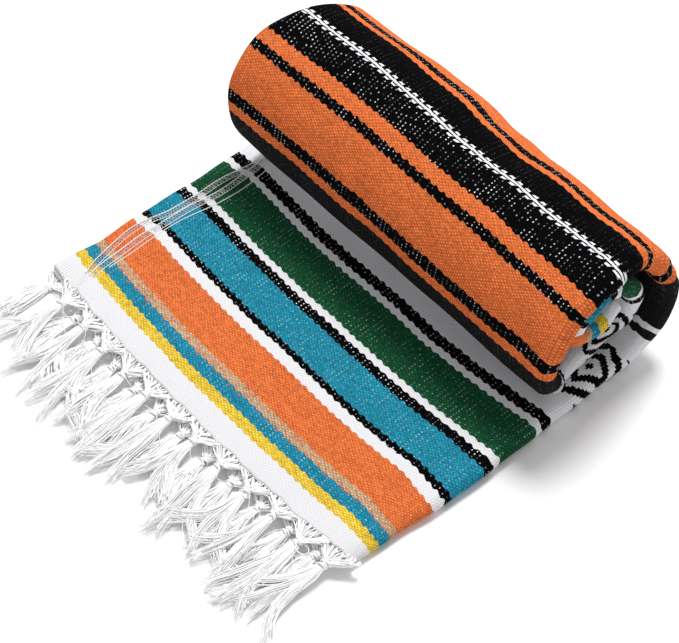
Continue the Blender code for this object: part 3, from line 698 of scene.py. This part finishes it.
def striped_cloth(look):
    """Hand-loomed cotton and acrylic: matt and dense, with fine weft bumps, ropy stripe edges and
    white warp ends glinting between the weft."""
    material, tree = new_material("handwoven_striped_cloth")
    maths, mix, texture = "ShaderNodeMath", "ShaderNodeMix", "ShaderNodeTexNoise"
    uv = add(tree, "ShaderNodeUVMap", uv_map="cloth")
    apart = add(tree, "ShaderNodeSeparateXYZ", (uv,))
    across = add(tree, maths, (apart.outputs[0], 1000.0), operation="MULTIPLY")
    along = add(tree, maths, (apart.outputs[1], 1000.0), operation="MULTIPLY")
    tinted = {"data_type": "RGBA"}

    # Warp ends run along the cloth and weft picks across it
    warp, pick = look.warp_pitch / MM, look.pick_pitch / MM
    beat = add(tree, texture, {"Vector": uv, "Scale": BEAT_SCALE, "Detail": 1.0})
    swayed = add(tree, maths, (beat.outputs[0], 2.4, along), operation="MULTIPLY_ADD")
    column = add(tree, maths, (across, warp), operation="DIVIDE")
    row = add(tree, maths, (swayed, pick), operation="DIVIDE")
    column_index = add(tree, maths, (column,), operation="FLOOR")
    row_index = add(tree, maths, (row,), operation="FLOOR")
    in_column = add(tree, maths, (column,), operation="FRACT")
    in_row = add(tree, maths, (row,), operation="FRACT")
    cell_sum = add(tree, maths, (column_index, row_index), operation="ADD")
    parity = add(tree, maths, (cell_sum, 2.0), operation="FLOORED_MODULO")
    cell = add(tree, "ShaderNodeCombineXYZ", (column_index, row_index, 0.0))
    chance = add(tree, "ShaderNodeTexWhiteNoise", (cell,), noise_dimensions="2D")

    # A stripe's edge is a string of beads, one for two warp pairs, and wanders over a hand's width
    wander = add(tree, texture, {"Vector": uv, "Scale": WANDER_SCALE, "Detail": 2.0})
    wandering = add(tree, maths, (wander.outputs[0], 0.5), operation="SUBTRACT")
    rag = add(tree, texture, {"Vector": uv, "Scale": RAG_SCALE, "Detail": 1.0})
    ragged = add(tree, maths, (rag.outputs[0], 0.5), operation="SUBTRACT")
    bead_shift = add(tree, maths, (along, math.pi / 8.0), operation="MULTIPLY")
    bead_turn = add(tree, maths, (across, 2.0 * math.pi / DASH_PERIOD, bead_shift),
                    operation="MULTIPLY_ADD")
    bead = add(tree, maths, (bead_turn,), operation="SINE")
    place = add(tree, maths, (wandering, look.wander / MM * 4.0, along), operation="MULTIPLY_ADD")
    steady = add(tree, maths, (ragged, EDGE_RAG, place), operation="MULTIPLY_ADD")
    place = add(tree, maths, (bead, EDGE_BEAD, steady), operation="MULTIPLY_ADD")
    first = stripe_ramp(tree, place, STRIPES_FROM_HEM, 0.0, PATTERN_HALF, look)
    second = stripe_ramp(tree, place, STRIPES_TO_MIDDLE, PATTERN_HALF, MIDDLE_FOLD, look)
    beyond = add(tree, maths, (place, PATTERN_HALF), operation="GREATER_THAN")
    colour = add(tree, mix, {0: beyond, 6: first, 7: second}, **tinted).outputs[2]
    showing = add(tree, mix, {0: beyond, 2: first.outputs[1], 3: second.outputs[1]}).outputs[0]

    # The tan stripes are a marl: tan yarn with some orange in it
    from_middle = add(tree, maths, (steady, PATTERN_HALF), operation="SUBTRACT")
    from_middle = add(tree, maths, (from_middle,), operation="ABSOLUTE")
    marled = add(tree, maths, (from_middle, *MARL_FROM_MIDDLE), operation="COMPARE")
    marl_chance = add(tree, maths, (chance.outputs[0], 0.2), operation="LESS_THAN")
    marled_orange = add(tree, maths, (marled, marl_chance), operation="MULTIPLY")
    marled_orange = add(tree, maths, (marled_orange, 0.5), operation="MULTIPLY")
    colour = add(tree, mix, {0: marled_orange, 6: colour, 7: list(look.orange)}, **tinted).outputs[2]

    # Bold stepped diamonds in the middle of the ribbed bands
    stepped_row = add(tree, maths, (steady, DIAMOND_STEP[1]), operation="SNAP")
    stepped_column = add(tree, maths, (across, DIAMOND_STEP[0]), operation="SNAP")
    for centre in DIAMOND_BANDS:
        off = add(tree, maths, (stepped_row, centre), operation="SUBTRACT")
        off = add(tree, maths, (off,), operation="ABSOLUTE")
        wave = add(tree, maths, (stepped_column, DIAMOND_WIDTH), operation="PINGPONG")
        reach = add(tree, maths, (wave, DIAMOND_SLOPE, off), operation="MULTIPLY_ADD")
        bands = add(tree, maths, (reach, DIAMOND_RING), operation="PINGPONG")
        inked = add(tree, maths, (bands, DIAMOND_INK), operation="LESS_THAN")
        inside = add(tree, maths, (off, DIAMOND_HALF), operation="LESS_THAN")
        mask = add(tree, maths, (inked, inside), operation="MULTIPLY")
        colour = add(tree, mix, {0: mask, 6: colour, 7: list(look.black)}, **tinted).outputs[2]

    # A white cord of a stripe down the middle of the black, split by two rows of black dashes
    start, end = DASHES
    middle = 0.5 * (start + end)
    from_cord = add(tree, maths, (steady, middle), operation="SUBTRACT")
    aside = add(tree, maths, (from_cord,), operation="ABSOLUTE")
    in_dash_row = add(tree, maths, (aside, *DASH_ROW), operation="COMPARE")
    lean = add(tree, maths, (from_cord, DASH_LEAN, across), operation="MULTIPLY_ADD")
    lean = add(tree, maths, (lean, DASH_PERIOD), operation="DIVIDE")
    lean = add(tree, maths, (lean,), operation="FRACT")
    dashed = add(tree, maths, (lean, DASH_SHARE), operation="LESS_THAN")
    dashed = add(tree, maths, (dashed, in_dash_row), operation="MULTIPLY")
    swell = add(tree, maths, (lean, 2.0 * math.pi, -0.5 * math.pi), operation="MULTIPLY_ADD")
    swell = add(tree, maths, (swell,), operation="COSINE")
    cord_half = add(tree, "ShaderNodeMapRange", (swell, -0.5, 0.2, 0.85, 0.5 * (end - start) + 0.1))
    within = add(tree, maths, (aside, cord_half), operation="LESS_THAN")
    corded = add(tree, maths, (within, dashed), operation="SUBTRACT", use_clamp=True)
    colour = add(tree, mix, {0: corded, 6: colour, 7: list(look.warp)}, **tinted).outputs[2]

    # Warp ends show as small bright dots, on every other warp pair, in drifts
    pair = add(tree, maths, (across, 2.0 * warp), operation="DIVIDE")
    pair_index = add(tree, maths, (pair,), operation="FLOOR")
    in_pair = add(tree, maths, (pair,), operation="FRACT")
    dot_sum = add(tree, maths, (pair_index, row_index), operation="ADD")
    dot_parity = add(tree, maths, (dot_sum, 2.0), operation="FLOORED_MODULO")
    dot_x = add(tree, maths, (in_pair, 0.5, 0.10), operation="COMPARE")
    dot_y = add(tree, maths, (in_row, 0.5, 0.4), operation="COMPARE")
    dot = add(tree, maths, (dot_x, dot_y), operation="MULTIPLY")
    dot = add(tree, maths, (dot, dot_parity), operation="MULTIPLY")
    drift = add(tree, texture, {"Vector": uv, "Scale": WARP_DRIFT_SCALE, "Detail": 1.0})
    drifts = add(tree, "ShaderNodeMapRange", (drift, 0.36, 0.62, 0.25, 1.0))
    pair_cell = add(tree, "ShaderNodeCombineXYZ", (pair_index, row_index, 1.0))
    pair_chance = add(tree, "ShaderNodeTexWhiteNoise", (pair_cell,), noise_dimensions="2D")
    brightness = add(tree, "ShaderNodeMapRange", (pair_chance.outputs[0], 0.3, 0.95, 0.0, 1.0))
    dot = add(tree, maths, (dot, brightness), operation="MULTIPLY")
    dot = add(tree, maths, (dot, drifts), operation="MULTIPLY")
    # Close to the white cord they hardly show on its hem side
    hidden_side = add(tree, "ShaderNodeMapRange", (along, 455.0, 449.0, 1.0, 0.06))
    near_half = add(tree, maths, (from_middle, 30.0), operation="LESS_THAN")
    fade = add(tree, mix, {0: near_half, 2: 1.0, 3: hidden_side.outputs[0]}).outputs[0]
    dot = add(tree, maths, (dot, fade), operation="MULTIPLY")
    paleness = add(tree, "ShaderNodeSeparateColor", (colour,))
    warm = add(tree, "ShaderNodeMapRange", (paleness.outputs[0], 0.25, 0.7, 1.0, 0.22))
    dot = add(tree, maths, (dot, warm), operation="MULTIPLY")
    dot = add(tree, maths, (dot, showing), operation="MULTIPLY", use_clamp=True)

    # Each float of weft is a bump of its own tone. Painted shade darkens the pits between them and every
    # other cell, and painted light brightens the floats' tops; both are milder on pale yarn
    tone = add(tree, "ShaderNodeMapRange", (chance.outputs[0], 0.0, 1.0, 0.78, 1.22))
    pick_cell = add(tree, "ShaderNodeCombineXYZ", (across, row_index, 0.0))
    pick_place = add(tree, "ShaderNodeVectorMath", (pick_cell, (0.035, 0.61, 1.0)), operation="MULTIPLY")
    pick_noise = add(tree, texture, {"Vector": pick_place, "Scale": 1.0, "Detail": 1.0})
    pick_tone = add(tree, "ShaderNodeMapRange", (pick_noise.outputs[0], 0.25, 0.75, 0.88, 1.1))
    dome = None
    for part in (in_column, in_row):
        off = add(tree, maths, (part, 0.5), operation="SUBTRACT")
        square = add(tree, maths, (off, off), operation="MULTIPLY")
        arch = add(tree, maths, (square, -4.0, 1.0), operation="MULTIPLY_ADD")
        dome = arch if dome is None else add(tree, maths, (dome, arch), operation="MULTIPLY")
    over = add(tree, maths, (parity, -0.72, 1.0), operation="MULTIPLY_ADD")
    weave = add(tree, maths, (dome, over), operation="MULTIPLY")
    pale = add(tree, "ShaderNodeMapRange", (paleness.outputs[2], 0.4, 0.7, 0.0, 1.0))
    deepest = add(tree, mix, {0: pale, 2: 0.52, 3: 0.80}).outputs[0]
    highest = add(tree, mix, {0: pale, 2: 1.22, 3: 1.04}).outputs[0]
    shade = add(tree, "ShaderNodeMapRange", (weave, 0.0, 0.7, deepest, highest))
    toned = add(tree, maths, (tone.outputs[0], pick_tone.outputs[0]), operation="MULTIPLY")
    calm = add(tree, mix, {0: pale, 2: toned, 3: 1.0}).outputs[0]
    shaded = add(tree, maths, (shade.outputs[0], calm), operation="MULTIPLY")
    # The painted weave shade and light multiply the yarn colour here
    colour = add(tree, mix, {0: 1.0, 6: colour, 7: shaded}, **tinted, blend_type="MULTIPLY").outputs[2]
    colour = add(tree, mix, {0: dot, 6: colour, 7: list(look.warp)}, **tinted).outputs[2]
    lifted = add(tree, maths, (bead, 0.25, weave), operation="MULTIPLY_ADD")
    bump = add(tree, "ShaderNodeBump", {"Strength": 0.6, "Distance": 0.6 * MM, "Height": lifted})
    shader = add(tree, "ShaderNodeBsdfPrincipled", {
        "Base Color": colour, "Roughness": 0.95, "Specular IOR Level": 0.04, "Normal": bump})
    add(tree, "ShaderNodeOutputMaterial", (shader,))
    return material


def plain_yarn(name, colour, roughness, sheen):
    """Loose cotton or thread: nearly white and matt, a little uneven along each end."""
    material, tree = new_material(name)
    where = add(tree, "ShaderNodeTexCoord")
    noise = add(tree, "ShaderNodeTexNoise", {
        "Vector": where.outputs["Object"], "Scale": 420.0, "Detail": 2.0})
    tone = add(tree, "ShaderNodeMapRange", (noise.outputs[0], 0.3, 0.7, 0.96, 1.0))
    shaded = add(tree, "ShaderNodeMix", {0: 1.0, 6: list(colour), 7: tone.outputs[0]},
                 data_type="RGBA", blend_type="MULTIPLY").outputs[2]
    bump = add(tree, "ShaderNodeBump", {"Strength": 0.3, "Distance": 0.2 * MM, "Height": noise.outputs[0]})
    shader = add(tree, "ShaderNodeBsdfPrincipled", {
        "Base Color": shaded, "Roughness": roughness, "Specular IOR Level": 0.3,
        "Sheen Weight": sheen, "Sheen Roughness": 0.4, "Normal": bump})
    add(tree, "ShaderNodeOutputMaterial", (shader,))
    return material


def studio_paper(colour):
    """Pale seamless paper: matt and even."""
    material, tree = new_material("pale_studio_paper")
    shader = add(tree, "ShaderNodeBsdfPrincipled", {"Base Color": list(colour), "Roughness": 0.9,
                                                    "Specular IOR Level": 0.1})
    add(tree, "ShaderNodeOutputMaterial", (shader,))
    return material


# Geometry Nodes: yarn laid along lines

def yarn_tree():
    """A node group that turns edges into tubes of yarn: the edge points' own thickness scales them."""
    tree = bpy.data.node_groups.new("yarn_along_lines", "GeometryNodeTree")
    sockets = {}
    for name, kind, default in (
            ("Geometry", "NodeSocketGeometry", None), ("Thickness", "NodeSocketFloat", 0.7 * MM),
            ("Sides", "NodeSocketInt", 4), ("Waver", "NodeSocketFloat", 0.0),
            ("Waver Scale", "NodeSocketFloat", 80.0), ("Seed", "NodeSocketFloat", 1.0),
            ("Material", "NodeSocketMaterial", None)):
        socket = tree.interface.new_socket(name=name, in_out="INPUT", socket_type=kind)
        if default is not None:
            socket.default_value = default
        sockets[name] = socket.identifier
    tree.interface.new_socket(name="Geometry", in_out="OUTPUT", socket_type="NodeSocketGeometry")
    inputs = add(tree, "NodeGroupInput")
    into = {socket.name: socket for socket in inputs.outputs}
    curve = add(tree, "GeometryNodeMeshToCurve", (into["Geometry"],))

    # Each point wavers as far as it is free to
    position = add(tree, "GeometryNodeInputPosition")
    noise = add(tree, "ShaderNodeTexNoise", {
        "Vector": position, "W": into["Seed"], "Scale": into["Waver Scale"], "Detail": 1.0},
        noise_dimensions="4D")
    centred = add(tree, "ShaderNodeVectorMath", (noise.outputs["Color"], (0.5, 0.5, 0.5)),
                  operation="SUBTRACT")
    freedom = add(tree, "GeometryNodeInputNamedAttribute", ("waver",), data_type="FLOAT")
    reach = add(tree, "ShaderNodeMath", (freedom, into["Waver"]), operation="MULTIPLY")
    offset = add(tree, "ShaderNodeVectorMath", {0: centred, 3: reach}, operation="SCALE")
    moved = add(tree, "GeometryNodeSetPosition", {"Geometry": curve, "Offset": offset})

    thick = add(tree, "GeometryNodeInputNamedAttribute", ("thick",), data_type="FLOAT")
    radius = add(tree, "ShaderNodeMath", (thick, into["Thickness"]), operation="MULTIPLY")
    radius = add(tree, "ShaderNodeMath", (radius, 0.5), operation="MULTIPLY")
    circle = add(tree, "GeometryNodeCurvePrimitiveCircle", {"Resolution": into["Sides"], "Radius": 1.0})
    tubes = add(tree, "GeometryNodeCurveToMesh", {
        "Curve": moved, "Profile Curve": circle, "Scale": radius, "Fill Caps": True})
    smooth = add(tree, "GeometryNodeSetShadeSmooth", {"Geometry": tubes})
    real = add(tree, "GeometryNodeRealizeInstances", (smooth,))
    finished = add(tree, "GeometryNodeSetMaterial", {"Geometry": real, "Material": into["Material"]})
    add(tree, "NodeGroupOutput", (finished,))
    return tree, sockets


def lay_yarns(name, lines, material, thickness, waver, waver_scale, seed):
    """Make tubes from lines, each a list of (point in mm, thickness share, freedom to waver)."""
    points, edges, thick, free = [], [], [], []
    for line in lines:
        for i, (point, share, loose) in enumerate(line):
            if i:
                edges.append((len(points) - 1, len(points)))
            points.append([c * MM for c in point])
            thick.append(share)
            free.append(loose)
    points = (np.array(points) + np.array(LAYOUT_SHIFT)).tolist()
    mesh = bpy.data.meshes.new(name + "_lines")
    mesh.from_pydata(points, edges, [])
    for key, values in (("thick", thick), ("waver", free)):
        mesh.attributes.new(key, "FLOAT", "POINT").data.foreach_set("value", values)
    source = bpy.data.objects.new(name + "_lines", mesh)
    bpy.context.scene.collection.objects.link(source)
    tree, sockets = yarn_tree()
    modifier = source.modifiers.new("yarn", "NODES")
    modifier.node_group = tree
    for key, value in (("Thickness", thickness), ("Sides", YARN_SIDES), ("Waver", waver),
                       ("Waver Scale", waver_scale), ("Seed", seed), ("Material", material)):
        modifier[sockets[key]] = value
    depsgraph = bpy.context.evaluated_depsgraph_get()
    result = bpy.data.meshes.new_from_object(source.evaluated_get(depsgraph), depsgraph=depsgraph)
    result.name = name
    piece = bpy.data.objects.new(name, result)
    bpy.context.scene.collection.objects.link(piece)
    bpy.data.objects.remove(source, do_unlink=True)
    return piece


# The fringe's lines of yarn

UP = Vector((0.0, 0.0, 1.0))


def directions(bearing):
    """The level directions ahead and to the side, at a bearing from -Y."""
    return (Vector((math.sin(bearing), -math.cos(bearing), 0.0)),
            Vector((math.cos(bearing), math.sin(bearing), 0.0)))


def hem_front(across):
    """Where the hem lies, along the flat stretch."""
    return -HEM_TO_ROLL + float(hem_bow(np.array(across)))


def gathered_ends(knot, across, level, side, dice):
    """The ends start inside the hem's two layers, by turns high and low, and run into the knot."""
    lines = []
    for i in range(GATHERED_ENDS):
        spread = (i / (GATHERED_ENDS - 1.0) - 0.5) * GATHERED_WIDTH + dice.uniform(-0.9, 0.9)
        on_top = i % 2
        edge = hem_front(across + spread) + (2.4 if on_top else 0.6)
        high = level + (2.1 if on_top else -0.4)
        inside = Vector((across + spread, edge + dice.uniform(0.4, 2.2), high))
        over = Vector((across + spread + dice.uniform(-1.4, 1.4), edge - dice.uniform(0.6, 1.8),
                       high - 0.4))
        aim = knot + side * dice.uniform(-3.0, 3.0) + UP * dice.uniform(-1.6, 1.8)
        middle = over.lerp(aim, dice.uniform(0.35, 0.65)) + side * dice.uniform(-2.4, 2.4)
        middle += UP * dice.uniform(-0.6, 1.4)
        # Every third one is a fat yarn that fills the bundle from below
        fat, drop = (4.6, UP * 0.7) if i % 3 == 1 else (1.9, UP * 0.0)
        lines.append([(inside - drop, fat, 0.0), (over - drop, fat, 0.1), (middle - drop, fat, 0.5),
                      (aim, 2.0, 0.3)])
    return lines


def knot_wraps(knot, ahead, side, dice):
    """Loose wraps across the bundle."""
    lines = []
    for turn in range(KNOT_WRAPS):
        wrap = []
        tilt, fat = dice.uniform(-0.9, 0.9), dice.uniform(0.8, 1.15)
        for step in range(10):
            angle = 2.0 * math.pi * step / 9.0
            at = knot + side * math.cos(angle) * 3.1 * fat + UP * math.sin(angle) * 2.6 * fat
            along = (turn - 2.0) * 1.1 + 0.8 + tilt * math.cos(angle) * 1.8
            wrap.append((at + ahead * along, 2.6, 0.5))
        lines.append(wrap)
    return lines


def tail_locks(knot, heading, bend, reach, rest, locks, ends, dice):
    """Soft locks that wander apart, each of many yarns over two thick ones, with frayed ends."""
    ahead = directions(heading)[0]
    lines = []
    for lock in range(locks):
        place = (lock + 0.5) / locks - 0.5 + dice.uniform(-0.06, 0.06)
        turn = heading + bend + place * dice.uniform(0.25, 0.7) + dice.gauss(0.0, 0.05)
        long = reach * dice.uniform(0.80, 1.02)
        rise, sway = dice.uniform(0.0, 3.4), dice.uniform(-2.6, 2.6)
        curl, phase = dice.gauss(0.0, 0.22), dice.uniform(0.0, 6.3)
        wide = dice.uniform(1.3, 1.9)
        for end in range(BODY_YARNS + ends):
            body_yarn = end < BODY_YARNS
            if body_yarn:
                off_x, off_z, own = (end - 0.5) * 2.2, -0.7, long * 0.86
            else:
                off_x = dice.uniform(-2.0, 2.0) * wide
                off_z = 1.25 - 0.22 * off_x * off_x + dice.gauss(0.0, 0.25)
                own = long * min(1.05, dice.gauss(0.97, 0.05))
            lowest = 2.1 if body_yarn else 1.1
            ripple, shift = dice.uniform(0.0, 0.5), dice.uniform(0.0, 6.3)
            fray = dice.gauss(0.0, 1.0)
            line = []
            for step in range(YARN_POINTS):
                t = step / (YARN_POINTS - 1.0)
                run, beside = directions(heading + (turn - heading) * t + curl * t * t)
                at = knot + ahead * 2.5 + run * own * t
                swung = sway * math.sin(t * 4.2 + phase) * min(1.0, 2.0 * t)
                at += beside * (place * 9.0 * (0.35 + 0.75 * t) + swung)
                body = 0.55 + 0.75 * math.sin(math.pi * min(1.0, t * 0.85))
                frayed = fray * 1.1 * max(0.0, t - 0.72)
                at += beside * (off_x * body + ripple * math.sin(t * 11.0 + shift) + frayed)
                fall = 1.0 - (1.0 - min(1.0, t * 1.4)) ** 2
                resting = rest + rise * (1.0 - 0.8 * t)
                at.z = max(lowest, knot.z + (resting + 0.8 - knot.z) * fall + off_z * body)
                thick = 5.6 * body - 2.6 * t if body_yarn else 1.5 - 0.7 * t
                line.append((at, thick, 0.1 + 0.7 * t))
            lines.append(line)
    return lines


def stray_yarns(knot, heading, rest, dice):
    """A few yarns that spring from the knot."""
    lines = []
    for stray in range(dice.randint(1, 3)):
        bearing = heading + dice.uniform(-1.1, 1.1)
        curl, long = dice.uniform(-1.8, 1.8), dice.uniform(18.0, 34.0)
        at, line = Vector(knot), []
        for step in range(YARN_POINTS):
            t = step / (YARN_POINTS - 1.0)
            line.append((Vector(at), 0.9, 0.3))
            at = at + directions(bearing + curl * t)[0] * long / (YARN_POINTS - 1.0)
            at.z = max(1.2, knot.z + 1.5 - t * (knot.z - rest - 1.0))
        lines.append(line)
    return lines


def tassel_lines(row, level, rest, locks, ends, dice):
    """The yarns of one tassel: gathered off the hem's two layers, knotted, and fanned out in locks."""
    across, heading, bend, length = row
    heading, bend = math.radians(heading), math.radians(bend)
    ahead, side = directions(heading)
    knot = Vector((across, hem_front(across), level)) + ahead * dice.uniform(7.0, 11.5) - UP * 0.6
    lines = gathered_ends(knot, across, level, side, dice)
    lines += knot_wraps(knot, ahead, side, dice)
    lines += tail_locks(knot, heading, bend, length - HEM_TO_TAIL, rest, locks, ends, dice)
    return lines + stray_yarns(knot, heading, rest, dice)


def loop_line(middle, radius, start, height):
    """A slack loop of one warp end that stands off the knots."""
    line = []
    for step in range(19):
        turn = math.radians(start + 400.0 * step / 18.0)
        at = (middle[0] + radius * math.cos(turn), middle[1] + 0.8 * radius * math.sin(turn),
              height + 1.8 * math.sin(turn * 0.5))
        line.append((at, 1.4, 0.4))
    return line


# Operators

class SERAPE_OT_cloth(bpy.types.Operator):
    """Lay the flat stretch and the outer turn, and coil the rest inside"""
    bl_idname = "serape.cloth"
    bl_label = "Cloth"

    def execute(self, context):
        look = context.scene.serape_cloth
        material = striped_cloth(look)
        path = outer_path()
        low, top = smooth_table(SELVEDGES, path["along"]).T
        turned_in = np.maximum(0.0, path["left"] - FLAT_LEFT)
        low, top = low + turned_in, top + turned_in
        shown, hidden = graded(76, 0.8, 0.8), graded(24, 2.2, 0.4)
        outer = cloth_shell("serape_tail_and_outer_turn", path, low, top, shown, hidden,
                            tail_and_turn_shape, stripe_drift, True, material)
        path = coil_path()
        low, top = (path["left"] + inset for inset in COIL_SELVEDGES)
        shown, hidden = graded(44, 2.2, 2.2), graded(20, 2.2, 0.4)
        coil = cloth_shell("serape_inner_coil", path, low, top, shown, hidden,
                           coil_shape, coil_drift, False, material)
        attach(outer, "root")
        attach(coil, "root")
        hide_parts("cloth_flat_and_outer_turn")
        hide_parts("cloth_inner_coil")
        return {"FINISHED"}


class SERAPE_OT_fringe(bpy.types.Operator):
    """Knot the warp ends at both hems and fan them out on the floor"""
    bl_idname = "serape.fringe"
    bl_label = "Fringe"

    def execute(self, context):
        look = context.scene.serape_fringe
        material = plain_yarn("loose_cotton_warp_yarn", look.colour, 0.9, 0.05)
        for which, table, level, rest, seed, loops in (
                ("upper", UPPER_TASSELS, HEM_HEIGHTS[0], REST_HEIGHTS[0], look.seed, UPPER_LOOPS),
                ("lower", LOWER_TASSELS, HEM_HEIGHTS[1], REST_HEIGHTS[1], look.seed + 5, ())):
            dice = random.Random(seed)
            lines = [loop_line(*loop) for loop in loops]
            for row in table:
                lines += tassel_lines(row, level, rest, look.locks, look.ends, dice)
            piece = lay_yarns("serape_fringe_" + which, lines, material, look.yarn,
                              1.6 * MM, 110.0, float(seed))
            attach(piece, "root")
            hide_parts(*[f"tassel_{which}_{i + 1:02d}" for i in range(len(table))])
        return {"FINISHED"}


class SERAPE_OT_stitches(bpy.types.Operator):
    """Sew the overlock along both selvedges, and the straight seam beside the upper one"""
    bl_idname = "serape.stitches"
    bl_label = "Stitches"

    def execute(self, context):
        look = context.scene.serape_fringe
        material = plain_yarn("white_polyester_thread", look.thread_colour, 0.55, 0.02)
        dice = random.Random(look.seed + 21)
        lines = []
        for layer, column, wide in ((4, 1, 5.2), (3, 0, 5.0)):
            edge_rows, inner_rows, zigzag = [], [], []
            for v in np.arange(*OVERLOCKED, OVERLOCK_PITCH):
                edge = float(smooth_table(SELVEDGES, v)[column])
                inward = len(zigzag) % 2
                x = edge + 0.2 + (wide + dice.uniform(-0.7, 0.5)) * inward
                at = on_cloth(x, v + dice.uniform(-0.4, 0.9), layer, 0.15)
                zigzag.append((at, dice.uniform(1.6, 2.3), 0.6))
                edge_rows.append((on_cloth(edge - 0.1, v, layer, -0.7 + 0.5 * inward), 2.4, 0.6))
                inner_rows.append((on_cloth(edge + wide, v, layer, 0.05), 1.5, 0.3))
            lines += [zigzag, edge_rows, inner_rows]
        reach = np.arange(SEAM[0][0], SEAM[-1][0], SEAM_PITCH)
        lines.append([(on_cloth(float(smooth_table(SEAM, v)[0]), v, 4, 0.1), 2.0, 0.1) for v in reach])
        piece = lay_yarns("serape_overlock_stitches", lines, material, look.thread, 0.4 * MM, 300.0, 3.0)
        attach(piece, "root")
        return {"FINISHED"}


class SERAPE_OT_stage(bpy.types.Operator):
    """Pale floor, soft lights and the camera"""
    bl_idname = "serape.stage"
    bl_label = "Stage"

    def execute(self, context):
        look = context.scene.serape_stage
        scene = context.scene
        corners = [(x * FLOOR_REACH, y * FLOOR_REACH, FLOOR_HEIGHT)
                   for x, y in ((-1, -1), (1, -1), (1, 1), (-1, 1))]
        floor = add_mesh("studio_floor", corners, [(0, 1, 2, 3)], studio_paper(look.floor_colour))
        world = bpy.data.worlds.new("soft_studio")
        world.use_nodes = True
        background = world.node_tree.nodes["Background"]
        background.inputs["Color"].default_value = (1.0, 1.0, 1.0, 1.0)
        background.inputs["Strength"].default_value = look.sky
        scene.world = world
        target = LAYOUT_SHIFT + AIM
        for name, place, size, power in (("key_softbox", KEY_PLACE, KEY_SIZE, look.key),
                                         ("low_front_fill", FILL_PLACE, FILL_SIZE, look.fill)):
            light = bpy.data.lights.new(name, "AREA")
            light.shape, light.size, light.energy = "DISK", size, power
            lamp = bpy.data.objects.new(name, light)
            lamp.location = target + place
            lamp.rotation_euler = (-place).to_track_quat("-Z", "Y").to_euler()
            scene.collection.objects.link(lamp)
        level = Vector((-math.sin(look.bearing), math.cos(look.bearing), 0.0))
        forward = level * math.cos(look.pitch) - Vector((0.0, 0.0, math.sin(look.pitch)))
        right = Vector((math.cos(look.bearing), math.sin(look.bearing), 0.0))
        up = right.cross(forward)
        data = bpy.data.cameras.new("photo_camera")
        data.lens, data.sensor_width = look.lens, 36.0
        data.clip_start, data.clip_end = 0.05, 20.0
        camera = bpy.data.objects.new("photo_camera", data)
        turn = Matrix((right, up, -forward)).transposed().to_4x4()
        camera.matrix_world = Matrix.Translation(target - forward * look.distance) @ turn
        scene.collection.objects.link(camera)
        scene.camera = camera
        scene.view_settings.view_transform = "Standard"
        return {"FINISHED"}


class SERAPE_PT_panel(bpy.types.Panel):
    """Lists each group of sizes and colours above the operators that use it"""
    bl_idname = "SERAPE_PT_panel"
    bl_label = "Serape"
    bl_space_type = "VIEW_3D"
    bl_region_type = "UI"
    bl_category = "Serape"

    def draw(self, context):
        scene = context.scene
        for group, operators in ((scene.serape_cloth, ("serape.cloth",)),
                                 (scene.serape_fringe, ("serape.fringe", "serape.stitches")),
                                 (scene.serape_stage, ("serape.stage",))):
            box = self.layout.box()
            for key in group.bl_rna.properties.keys():
                if key not in ("rna_type", "name"):
                    box.prop(group, key)
            for operator in operators:
                box.operator(operator)


GROUPS = (("serape_cloth", SerapeCloth), ("serape_fringe", SerapeFringe), ("serape_stage", SerapeStage))
CLASSES = (SERAPE_OT_cloth, SERAPE_OT_fringe, SERAPE_OT_stitches, SERAPE_OT_stage, SERAPE_PT_panel)


def register():
    for name, group in GROUPS:
        bpy.utils.register_class(group)
        setattr(bpy.types.Scene, name, PointerProperty(type=group))
    for kind in CLASSES:
        bpy.utils.register_class(kind)


def unregister():
    for kind in reversed(CLASSES):
        bpy.utils.unregister_class(kind)
    for name, group in reversed(GROUPS):
        delattr(bpy.types.Scene, name)
        bpy.utils.unregister_class(group)


def main():
    register()
    bpy.ops.serape.cloth()
    bpy.ops.serape.fringe()
    bpy.ops.serape.stitches()
    bpy.ops.serape.stage()


if __name__ == "__main__":
    main()
